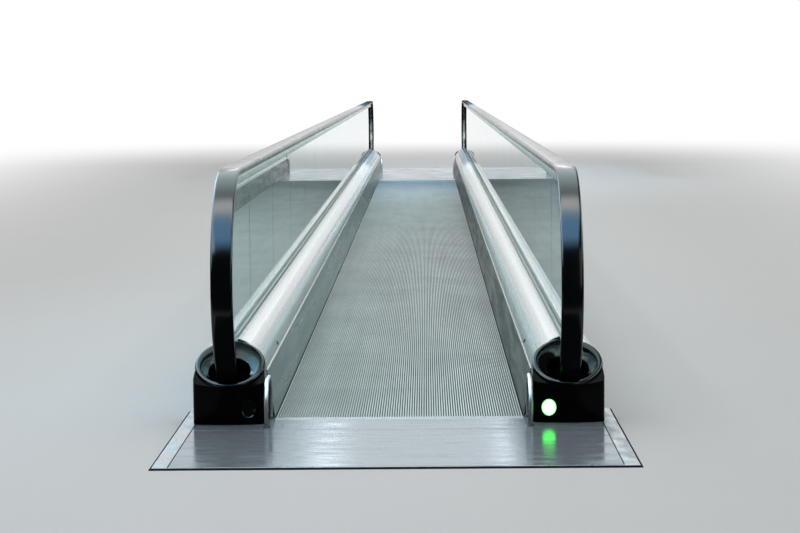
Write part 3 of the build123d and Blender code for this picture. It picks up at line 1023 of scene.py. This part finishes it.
def set_glass():
    """Panes with ground edges, and the seals beside their feet."""
    seal = 0.004
    for name, side in SIDES.items():
        soften_node("glass_" + name, "pane_glass", sizes().edge, segments=1)
        pane_low, pane_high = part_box("glass_" + name)
        bm = bmesh.new()
        for x in (pane_low.x - seal / 2, pane_high.x + seal / 2):
            made = bmesh.ops.create_cube(bm, size=1.0)["verts"]
            run = clamp_high.y - clamp_low.y - 0.26
            bmesh.ops.scale(bm, verts=made, vec=(seal, run, seal))
            bmesh.ops.translate(bm, verts=made, vec=(x, 0, clamp_high.z + 0.0005))
        bmesh.ops.bevel(
            bm, geom=[e for e in bm.edges if abs((e.verts[0].co - e.verts[1].co).y) > 1],
            offset=0.001, affect="EDGES", segments=2, profile=0.5, material=-1,
        )
        add_piece(bm, "glazing_seals_" + name, "rail_rubber", finish_name="seal_rubber")
        pane_joints(name)


def run_guides():
    """T-shaped rail; its flanks show between the handrail and the glass."""
    for name, side in SIDES.items():
        newel_z, newel_y = newel_place()
        top = rail_high.z
        x = side * rail_x
        bm = bmesh.new()
        head = (rail_high.x - rail_low.x) / 2 - 0.011
        half = [
            (head, -0.0103), (head, -0.020), (0.019, -0.020), (0.019, -0.032), (0.017, -0.032),
            (0.0160, -0.044), (0.0150, -0.046), (0.0155, -0.050), (0.013, -0.078),
            (0.0065, -0.078), (0.0065, -0.053),
        ]
        corners = [(x + u, top + h) for u, h in half]
        corners += [(x - u, top + h) for u, h in reversed(half)]
        section = section_loop(bm, corners, newel_y)
        sweep_round_newels(bm, section, x)
        add_piece(
            bm, "handrail_guide_" + name + "_dressed", "guide_metal", ("handrail_guide_" + name,)
        )


def run_handrails():
    """C-shaped handrail with a slightly crowned top."""
    for name, side in SIDES.items():
        newel_z, newel_y = newel_place()
        x = side * rail_x
        half = (rail_high.x - rail_low.x) / 2
        depth = sizes().handrail_depth
        crown = sizes().handrail_crown
        shoulder = sizes().handrail_shoulder
        mouth = sizes().handrail_mouth / 2
        wall, lip, cover = 0.009, 0.008, 0.010
        outline = [
            (mouth, -depth), (half, -depth), (half, -crown), (half / 2, -crown / 4), (0, 0),
            (-half / 2, -crown / 4), (-half, -crown), (-half, -depth), (-mouth, -depth),
            (-mouth, lip - depth), (wall - half, lip - depth), (wall - half, -cover),
            (half - wall, -cover), (half - wall, lip - depth), (mouth, lip - depth),
        ]
        rounding = {1: shoulder, 2: shoulder, 6: shoulder, 7: shoulder, 0: 0.003, 8: 0.003}
        bm = bmesh.new()
        corners = [(x + u, rail_high.z + h) for u, h in outline]
        section = section_loop(bm, corners, newel_y, rounding)
        sweep_round_newels(bm, section, x)
        add_piece(bm, "handrail_" + name + "_dressed", "rail_rubber", ("handrail_" + name,), 40)


# Newel ends
def place_in(bm, matrix):
    bmesh.ops.transform(bm, matrix=matrix, verts=bm.verts)


def collar_rings():
    """Rings from the underside over the round rim and down the dish into the low inlet."""
    crest = sizes().collar_rim / 2
    middle = sizes().collar_radius - crest
    rings = []
    for k in range(17):
        lift = math.radians(-100 + 190 * k / 16)
        rings.append((middle + crest * math.cos(lift), crest * math.sin(lift), 0.0))
    steps = 16
    for k in range(1, steps + 1):
        share = k / steps
        rings.append((
            middle + (sizes().inlet_radius - middle) * share,
            crest * math.cos(share * math.pi / 2),
            -sizes().inlet_drop * share,
        ))
    rings.append((sizes().inlet_radius, -crest, -sizes().inlet_drop))
    return rings


def fit_collar(end_name, side_name):
    bm = bmesh.new()
    loops = stack_rings(bm, collar_rings())
    bmesh.ops.bridge_loops(bm, edges=loops[0] + loops[-1])
    place_in(bm, slope_matrix(SIDES[side_name], ENDS[end_name]))
    where = end_name + "_" + side_name
    add_piece(bm, "inlet_collar_" + where + "_dressed", "collar_plastic", ("inlet_collar_" + where,))


def lamp_matrix(end_name, side_name):
    """Frame in the middle of a lamp's front face, Z out of the cap."""
    low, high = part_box("signal_lamp_" + end_name + "_" + side_name)
    end = ENDS[end_name]
    front = low.y if end < 0 else high.y
    turned = Vector((0, end, 0)).to_track_quat("Z", "Y").to_matrix().to_4x4()
    return Matrix.Translation(((low.x + high.x) / 2, front, (low.z + high.z) / 2)) @ turned


def fit_lamp(end_name, side_name):
    """Oval lens in a thin bezel: domed where it is lit, at the near right, and dished elsewhere."""
    where = end_name + "_" + side_name
    lit = where == "near_right"
    low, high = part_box("signal_lamp_" + where)
    half = (high.x - low.x) / 2
    tall = (high.z - low.z) / 2 / half
    radius = half - 0.002
    rise = sizes().lens_rise
    bm = bmesh.new()
    rings = [(radius, -rise - 0.006, 0)]
    for k in range(8):
        lift = math.radians(82 * k / 7)
        domed = rise * math.sin(lift) - rise
        shade_below = -rise * math.sin(lift)
        rings.append((radius * math.cos(lift), domed if lit else shade_below, 0))
    loops = stack_rings(bm, rings)
    bmesh.ops.contextual_create(bm, geom=loops[0])
    bmesh.ops.contextual_create(bm, geom=loops[-1])
    core = bm.loops.layers.color.new("core")
    for face in bm.faces:
        for corner in face.loops:
            out = math.hypot(corner.vert.co.x, corner.vert.co.y) / radius
            glow = min(1.0, max(0.0, (1.0 - out) / 0.12))
            corner[core] = (glow, glow, glow, 1.0)
    bmesh.ops.scale(bm, verts=bm.verts, vec=(1, tall, 1))
    place_in(bm, lamp_matrix(end_name, side_name))
    slot = "lamp_green" if lit else "lamp_dark"
    add_piece(bm, "signal_lamp_" + where + "_dressed", slot, ("signal_lamp_" + where,))
    bm = bmesh.new()
    outer = half + 0.001
    loops = stack_rings(bm, [
        (outer, -0.012, 0), (outer, -0.002, 0), (outer - 0.001, -0.001, 0),
        (radius + 0.0006, -0.001, 0), (radius + 0.0003, -0.003, 0), (radius + 0.0003, -0.012, 0),
    ])
    bmesh.ops.bridge_loops(bm, edges=loops[0] + loops[-1])
    bmesh.ops.scale(bm, verts=bm.verts, vec=(1, tall, 1))
    place_in(bm, lamp_matrix(end_name, side_name))
    add_piece(bm, "lamp_bezel_" + where, "cap_plastic")


def fit_newel_ends():
    for end in ENDS:
        for side in SIDES:
            where = end + "_" + side
            soften_node("end_cap_" + where, "cap_plastic", 0.0025, segments=3)
            fit_collar(end, side)
            fit_lamp(end, side)


def stand_hoop(end_name, side_name):
    """Bent tube with two bends and a small near-black ring round each foot."""
    where = end_name + "_" + side_name
    low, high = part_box("guard_hoop_" + where)
    tube = sizes().hoop_tube / 2
    bend = sizes().hoop_bend
    x = (low.x + high.x) / 2
    start = low.y + tube
    end = high.y - tube
    top = high.z - tube
    bm = bmesh.new()
    made = bmesh.ops.create_circle(bm, segments=24, radius=tube)
    bmesh.ops.translate(bm, verts=made["verts"], vec=(x, start, floor_z))
    foot = bm.edges[:]
    rising = drag(bm, foot, (0, 0, top - bend - floor_z))
    level = turn(bm, rising, (x, start + bend, top - bend), (-1, 0, 0), math.pi / 2, 10)
    across = drag(bm, level, (0, end - start - 2 * bend, 0))
    falling = turn(bm, across, (x, end - bend, top - bend), (-1, 0, 0), math.pi / 2, 10)
    drag(bm, falling, (0, 0, floor_z - top + bend))
    add_piece(bm, "guard_hoop_" + where + "_dressed", "hoop_steel", ("guard_hoop_" + where,))
    feet = bmesh.new()
    for y in (start, end):
        foot = bmesh.new()
        loops = stack_rings(foot, [
            (tube - 0.0005, 0.0, 0), (tube + 0.005, 0.0, 0), (tube + 0.005, 0.0025, 0),
            (tube + 0.003, 0.005, 0), (tube - 0.0005, 0.006, 0),
        ])
        bmesh.ops.bridge_loops(foot, edges=loops[0] + loops[-1])
        bmesh.ops.translate(foot, verts=foot.verts, vec=(x, y, floor_z))
        held = bpy.data.meshes.new("foot")
        foot.to_mesh(held)
        foot.free()
        feet.from_mesh(held)
        bpy.data.meshes.remove(held)
    add_piece(feet, "hoop_feet_" + where, "rail_rubber", finish_name="joint_black")


# Stage
WHITE = (1.0, 1.0, 1.0)
COOL = (0.80, 0.97, 1.0)
HAZE = (0.55, 0.80, 1.0)
SKY = (0.28, 0.60, 1.0)
CARD_PEAK = 8.4
CARD_TONE = 6.0
DIM_SECOND = 0.01
ROOF_BANDS = (
    (6.5, WHITE, 1.0), (8.0, COOL, 1.7), (10.1, COOL, 2.0), (10.9, COOL, 1.3), (11.35, WHITE, 4.6),
    (11.65, WHITE, 4.8), (12.05, HAZE, 3.8), (12.5, SKY, 4.1), (13.7, SKY, 4.1), (14.3, SKY, 2.0),
    (15.0, SKY, 0.1),
)
DARK_BANDS = ((6.0, WHITE, 0.01), (15.0, WHITE, 0.01))
WINDOW_BANDS = ((6.0, COOL, 3.0), (15.0, COOL, 3.0))
SKY_BANDS = ((6.0, HAZE, 5.0), (15.0, HAZE, 5.0))


def math_node(tree, operation, first, second):
    """Result of a sum on two values, each a socket or a number."""
    node = tree.nodes.new("ShaderNodeMath")
    node.operation = operation
    for socket, value in zip(node.inputs, (first, second)):
        if isinstance(value, bpy.types.NodeSocket):
            tree.links.new(value, socket)
        else:
            socket.default_value = value
    return node.outputs["Value"]


def soft_step(tree, value, start, end):
    """0 up to the start, 1 from the end, smooth between them."""
    node = tree.nodes.new("ShaderNodeMapRange")
    node.interpolation_type = "SMOOTHSTEP"
    node.inputs["From Min"].default_value = start
    node.inputs["From Max"].default_value = end
    tree.links.new(value, node.inputs["Value"])
    return node.outputs["Result"]


def floor_material():
    """Pale floor that fades to the white surround away from the walkway, and shows near black to short
    mirrored rays beyond the ends: a painted dark reflection.
    """
    material, shader = new_material("stage_floor", colours().floor, 0.75)
    shader.inputs["Specular IOR Level"].default_value = 0.2
    tree = material.node_tree
    cloud = place_group(tree, "smudge_mask", {"Stretch": (0.8, 0.8, 0.8)}).outputs["Mask"]
    tone = colours().floor
    tree.links.new(
        tint(tree, cloud, shaded(tone, 0.995), shaded(tone, 1.005)), shader.inputs["Base Color"]
    )
    place = tree.nodes.new("ShaderNodeTexCoord")
    split = tree.nodes.new("ShaderNodeSeparateXYZ")
    tree.links.new(place.outputs["Object"], split.inputs["Vector"])
    aside = soft_step(tree, math_node(tree, "ABSOLUTE", split.outputs["X"], 0), 2.2, 9.0)
    beyond = soft_step(tree, math_node(tree, "ABSOLUTE", split.outputs["Y"], 0), 12.5, 26.0)
    both = math_node(tree, "MULTIPLY", aside, beyond)
    away = math_node(tree, "SUBTRACT", math_node(tree, "ADD", aside, beyond), both)
    white = tree.nodes.new("ShaderNodeEmission")
    mix = tree.nodes.new("ShaderNodeMixShader")
    tree.links.new(math_node(tree, "MULTIPLY", away, seen_mask(tree)), mix.inputs["Fac"])
    tree.links.new(shader.outputs["BSDF"], mix.inputs[1])
    tree.links.new(white.outputs["Emission"], mix.inputs[2])
    # Painted dark reflection: beyond the ends the floor shows near black to short mirrored rays.
    before = soft_step(tree, math_node(tree, "ABSOLUTE", split.outputs["Y"], 0), 12.1, 12.5)
    black = tree.nodes.new("ShaderNodeEmission")
    black.inputs["Strength"].default_value = 0.01
    ends = tree.nodes.new("ShaderNodeMixShader")
    tree.links.new(math_node(tree, "MULTIPLY", before, near_gloss(tree)), ends.inputs["Fac"])
    tree.links.new(mix.outputs["Shader"], ends.inputs[1])
    tree.links.new(black.outputs["Emission"], ends.inputs[2])
    tree.links.new(ends.outputs["Shader"], tree.nodes["Material Output"].inputs["Surface"])
    return material


def seen_mask(tree):
    """1 for rays from the camera and for those mirrored or let through, which see the surround."""
    rays = tree.nodes.new("ShaderNodeLightPath")
    found = rays.outputs["Is Camera Ray"]
    for name in ("Is Glossy Ray", "Is Transmission Ray"):
        found = math_node(tree, "MAXIMUM", found, rays.outputs[name])
    return found


def lay_floor():
    """Floor round the walkway, open over the band and the landings; the walls down into the gap round the
    opening are near black, painted shade.
    """
    stage = bpy.context.scene.walkway_stage
    reach = 60.0
    level = floor_z - stage.floor_drop
    gap = stage.floor_gap
    low = [bound - gap for bound in cad_bounds[0]]
    high = [bound + gap for bound in cad_bounds[1]]
    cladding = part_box("outer_cladding_right")[1].x
    bm = bmesh.new()
    bmesh.ops.create_grid(bm, x_segments=1, y_segments=1, size=reach)
    bmesh.ops.translate(bm, verts=bm.verts, vec=(0, 0, level))
    near_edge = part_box("landing_frame_near")[1].y + gap
    lines = [((x, 0, 0), (1, 0, 0)) for x in (low[0], high[0], -cladding, cladding)]
    lines += [((0, y, 0), (0, 1, 0)) for y in (low[1], high[1], near_edge, -near_edge)]
    for point, normal in lines:
        bmesh.ops.bisect_plane(
            bm, geom=bm.verts[:] + bm.edges[:] + bm.faces[:], plane_co=point, plane_no=normal
        )
    inside = []
    for face in bm.faces:
        centre = face.calc_center_median()
        half = high[0] if abs(centre.y) > abs(near_edge) else cladding
        if abs(centre.x) < half and low[1] < centre.y < high[1]:
            inside.append(face)
    bmesh.ops.delete(bm, geom=inside, context="FACES")
    rim = [
        edge for edge in bm.edges
        if edge.is_boundary and all(abs(vert.co.y) < reach / 2 for vert in edge.verts)
        and all(abs(vert.co.x) < reach / 2 for vert in edge.verts)
    ]
    walls = bmesh.ops.extrude_edge_only(bm, edges=rim)["geom"]
    for part in walls:
        if isinstance(part, bmesh.types.BMVert):
            part.co.z -= 0.04
        elif isinstance(part, bmesh.types.BMFace):
            part.material_index = 1
    mesh = bpy.data.meshes.new("stage_floor")
    bm.to_mesh(mesh)
    bm.free()
    mesh.materials.append(floor_material())
    # Near-black finish of the gap walls: painted shade in the gap.
    mesh.materials.append(new_material("stage_gap_shade", (0.004, 0.004, 0.004), 0.9)[0])
    floor = bpy.data.objects.new("stage_floor", mesh)
    bpy.context.scene.collection.objects.link(floor)


def light_world():
    """White surround to the eye and in reflections, plain soft light on the object."""
    world = bpy.data.worlds.new("surround")
    bpy.context.scene.world = world
    world.use_nodes = True
    tree = world.node_tree
    strength = remap(tree, seen_mask(tree), bpy.context.scene.walkway_stage.day_strength, 1.0)
    surround = tree.nodes["Background"]
    surround.inputs["Color"].default_value = (1, 1, 1, 1)
    tree.links.new(strength, surround.inputs["Strength"])


def near_gloss(tree, reach=8.0):
    """1 for a ray that gloss has mirrored and that has come only a short way."""
    rays = tree.nodes.new("ShaderNodeLightPath")
    close = math_node(tree, "SUBTRACT", 1.0, soft_step(tree, rays.outputs["Ray Length"], reach,
                                                       reach + 1.5))
    mirrored = math_node(tree, "GREATER_THAN", rays.outputs["Glossy Depth"], 0.5)
    return math_node(tree, "MULTIPLY", close, mirrored)


def first_gloss(tree):
    """1 for a ray mirrored once, 0 for one that other gloss has mirrored before."""
    rays = tree.nodes.new("ShaderNodeLightPath")
    return math_node(tree, "LESS_THAN", rays.outputs["Glossy Depth"], 1.5)


def card_material(name, bands, one_sided=False):
    """Glow in bands across a card, each with its distance from the middle and its colour."""
    material = bpy.data.materials.new(name)
    material.use_nodes = True
    tree = material.node_tree
    tree.nodes.remove(tree.nodes["Principled BSDF"])
    glow = tree.nodes.new("ShaderNodeEmission")
    peak = remap(tree, first_gloss(tree), CARD_PEAK * DIM_SECOND, CARD_PEAK)
    tree.links.new(peak, glow.inputs["Strength"])
    clear = tree.nodes.new("ShaderNodeBsdfTransparent")
    mix = tree.nodes.new("ShaderNodeMixShader")
    place = tree.nodes.new("ShaderNodeTexCoord")
    split = tree.nodes.new("ShaderNodeSeparateXYZ")
    tree.links.new(place.outputs["Object"], split.inputs["Vector"])
    first, last = bands[0][0], bands[-1][0]
    along = tree.nodes.new("ShaderNodeMapRange")
    along.inputs["From Min"].default_value = first
    along.inputs["From Max"].default_value = last
    tree.links.new(math_node(tree, "ABSOLUTE", split.outputs["Y"], 0), along.inputs["Value"])
    ramp = tree.nodes.new("ShaderNodeValToRGB")
    stops = ramp.color_ramp.elements
    while len(stops) < len(bands):
        stops.new(0.5)
    for stop, (distance, tone, strength) in zip(stops, bands):
        stop.position = (distance - first) / (last - first)
        stop.color = shaded(tone, strength / CARD_TONE)
    tree.links.new(along.outputs["Result"], ramp.inputs["Fac"])
    tree.links.new(ramp.outputs["Color"], glow.inputs["Color"])
    shown = near_gloss(tree)
    if one_sided:
        back = tree.nodes.new("ShaderNodeNewGeometry").outputs["Backfacing"]
        shown = math_node(tree, "MULTIPLY", shown, math_node(tree, "SUBTRACT", 1.0, back))
    tree.links.new(shown, mix.inputs["Fac"])
    tree.links.new(clear.outputs["BSDF"], mix.inputs[1])
    tree.links.new(glow.outputs["Emission"], mix.inputs[2])
    tree.links.new(mix.outputs["Shader"], tree.nodes["Material Output"].inputs["Surface"])
    return material


def hang_card(name, material, turned, low, high):
    """Flat card between two corners, seen only in gloss; turned by half a turn for the far end."""
    bm = bmesh.new()
    made = bmesh.ops.create_grid(bm, x_segments=1, y_segments=1, size=0.5)["verts"]
    span = Vector(high) - Vector(low)
    if span.x == 0:
        bmesh.ops.rotate(bm, verts=made, matrix=Matrix.Rotation(math.pi / 2, 3, "Y"))
    if span.y == 0:
        bmesh.ops.rotate(bm, verts=made, matrix=Matrix.Rotation(math.pi / 2, 3, "X"))
    bmesh.ops.scale(bm, verts=made, vec=[part if part else 1.0 for part in span])
    bmesh.ops.translate(bm, verts=made, vec=(Vector(high) + Vector(low)) / 2)
    if turned:
        bmesh.ops.rotate(bm, verts=made, matrix=Matrix.Rotation(math.pi, 3, "Z"))
    mesh = bpy.data.meshes.new(name)
    bm.to_mesh(mesh)
    bm.free()
    mesh.materials.append(material)
    card = bpy.data.objects.new(name, mesh)
    card.visible_camera = False
    card.visible_diffuse = False
    card.visible_shadow = False
    bpy.context.scene.collection.objects.link(card)


def hang_cards():
    """Reflector cards round both ends, which give the black gloss its highlights."""
    roof = card_material("card_roof", ROOF_BANDS)
    dark = card_material("card_dark", DARK_BANDS)
    window = card_material("card_window", WINDOW_BANDS)
    sky = card_material("card_sky", SKY_BANDS)
    ground = card_material("card_ground", DARK_BANDS, one_sided=True)
    edge = cad_bounds[1][0]
    over = floor_z + 0.004
    front = -ROOF_BANDS[-1][0]
    back = -ROOF_BANDS[0][0]
    top = 3.2
    left, right = -3.2, 3.2
    for end, turned in (("near", False), ("far", True)):
        hang_card("card_roof_" + end, roof, turned, (-1.6, front, top), (1.4, back, top))
        hang_card("card_shade_" + end, dark, turned, (1.4, front, top), (right, back, top))
        hang_card("card_ground_" + end, ground, turned, (-edge, cad_bounds[0][1], over),
                  (edge, near_comb - 0.05, over))
        foot = 1.0 if turned else 0.0
        hang_card("card_front_" + end, dark, turned, (left, front, foot), (1.7, front, top))
        hang_card("card_left_" + end, dark, turned, (left, front, 0.0), (left, -9.0, 1.8))
        hang_card("card_right_" + end, dark, turned, (right, front, 0.0), (right, -9.0, 1.5))
        hang_card("card_sky_" + end, sky, turned, (left, front, 1.8), (left, -6.0, top))
        hang_card("card_high_" + end, sky, turned, (left, front, top), (-1.6, -6.0, top))
        hang_card("card_window_" + end, window, turned, (right, -13.2, 1.5), (right, -9.5, 2.9))


def hang_light(name, place, size, power, tone=(1, 1, 1)):
    """Rectangular soft light that shines straight down."""
    data = bpy.data.lights.new(name, "AREA")
    data.shape = "RECTANGLE"
    data.size, data.size_y = size
    data.energy = power
    data.color = tone
    lamp = bpy.data.objects.new(name, data)
    lamp.location = place
    bpy.context.scene.collection.objects.link(lamp)
    return lamp


def set_camera():
    stage = bpy.context.scene.walkway_stage
    data = bpy.data.cameras.new("view")
    data.lens = stage.lens_mm
    data.sensor_width = 36.0
    data.clip_end = 200.0
    camera = bpy.data.objects.new("view", data)
    place = (stage.camera_x, near_comb - stage.camera_back, floor_z + stage.camera_height)
    aim = (
        Matrix.Rotation(stage.camera_yaw, 4, "Z")
        @ Matrix.Rotation(math.pi / 2 - stage.camera_pitch, 4, "X")
        @ Matrix.Rotation(-stage.camera_roll, 4, "Z")
    )
    camera.matrix_world = Matrix.Translation(place) @ aim
    bpy.context.scene.collection.objects.link(camera)
    bpy.context.scene.camera = camera


# Operators, one for each group of pieces
class WALKWAY_OT_tread(bpy.types.Operator):
    """Lays the ribbed pallet band"""

    bl_idname = "walkway.tread"
    bl_label = "Pallet band"

    def execute(self, context):
        lay_tread()
        return {"FINISHED"}


class WALKWAY_OT_landings(bpy.types.Operator):
    """Lays combs, plates and frames at both ends"""

    bl_idname = "walkway.landings"
    bl_label = "Landings"

    def execute(self, context):
        lay_landings()
        return {"FINISHED"}


class WALKWAY_OT_base(bpy.types.Operator):
    """Builds skirts, decks, cladding and clamps"""

    bl_idname = "walkway.base"
    bl_label = "Balustrade base"

    def execute(self, context):
        build_base()
        return {"FINISHED"}


class WALKWAY_OT_glass(bpy.types.Operator):
    """Sets the panes and their seals"""

    bl_idname = "walkway.glass"
    bl_label = "Glass"

    def execute(self, context):
        set_glass()
        return {"FINISHED"}


class WALKWAY_OT_handrails(bpy.types.Operator):
    """Runs the guides and handrails round the newels"""

    bl_idname = "walkway.handrails"
    bl_label = "Handrails"

    def execute(self, context):
        run_guides()
        run_handrails()
        return {"FINISHED"}


class WALKWAY_OT_newel_ends(bpy.types.Operator):
    """Fits end caps, inlet collars and signal lamps"""

    bl_idname = "walkway.newel_ends"
    bl_label = "Newel ends"

    def execute(self, context):
        fit_newel_ends()
        return {"FINISHED"}


class WALKWAY_OT_hoops(bpy.types.Operator):
    """Stands the guard hoops beside the combs"""

    bl_idname = "walkway.hoops"
    bl_label = "Guard hoops"

    def execute(self, context):
        for end in ENDS:
            for side in SIDES:
                stand_hoop(end, side)
        return {"FINISHED"}


class WALKWAY_OT_stage(bpy.types.Operator):
    """Sets floor, surround, lights and camera"""

    bl_idname = "walkway.stage"
    bl_label = "Stage"

    def execute(self, context):
        context.scene.view_settings.view_transform = "Standard"
        lay_floor()
        light_world()
        hang_cards()
        hang_light("overhead", (0, 0, 7.0), (4.0, 34.0), 380)
        hang_light("strip_left", (-1.3, 0, 4.2), (0.35, 30.0), 70, (0.86, 0.93, 1.0))
        hang_light("strip_right", (1.3, 0, 4.2), (0.35, 30.0), 70, (0.86, 0.93, 1.0))
        set_camera()
        return {"FINISHED"}


OPERATORS = (
    WALKWAY_OT_tread,
    WALKWAY_OT_landings,
    WALKWAY_OT_base,
    WALKWAY_OT_glass,
    WALKWAY_OT_handrails,
    WALKWAY_OT_newel_ends,
    WALKWAY_OT_hoops,
    WALKWAY_OT_stage,
)


class WALKWAY_PT_panel(bpy.types.Panel):
    """Lists the walkway's pieces, sizes and colours"""

    bl_idname = "WALKWAY_PT_panel"
    bl_label = "Moving walkway"
    bl_space_type = "VIEW_3D"
    bl_region_type = "UI"
    bl_category = "Walkway"

    def draw(self, context):
        for operator in OPERATORS:
            self.layout.operator(operator.bl_idname)
        for group in (context.scene.walkway_sizes, context.scene.walkway_colours,
                      context.scene.walkway_stage):
            box = self.layout.box()
            for name in group.__annotations__:
                box.prop(group, name)


GROUPS = {
    "walkway_sizes": WalkwaySizes,
    "walkway_colours": WalkwayColours,
    "walkway_stage": WalkwayStage,
}


def register():
    for name, group in GROUPS.items():
        bpy.utils.register_class(group)
        setattr(bpy.types.Scene, name, bpy.props.PointerProperty(type=group))
    for operator in OPERATORS:
        bpy.utils.register_class(operator)
    bpy.utils.register_class(WALKWAY_PT_panel)


def unregister():
    bpy.utils.unregister_class(WALKWAY_PT_panel)
    for operator in reversed(OPERATORS):
        bpy.utils.unregister_class(operator)
    for name, group in GROUPS.items():
        delattr(bpy.types.Scene, name)
        bpy.utils.unregister_class(group)


def main():
    register()
    bpy.ops.walkway.tread()
    bpy.ops.walkway.landings()
    bpy.ops.walkway.base()
    bpy.ops.walkway.glass()
    bpy.ops.walkway.handrails()
    bpy.ops.walkway.newel_ends()
    bpy.ops.walkway.hoops()
    bpy.ops.walkway.stage()


if __name__ == "__main__":
    main()
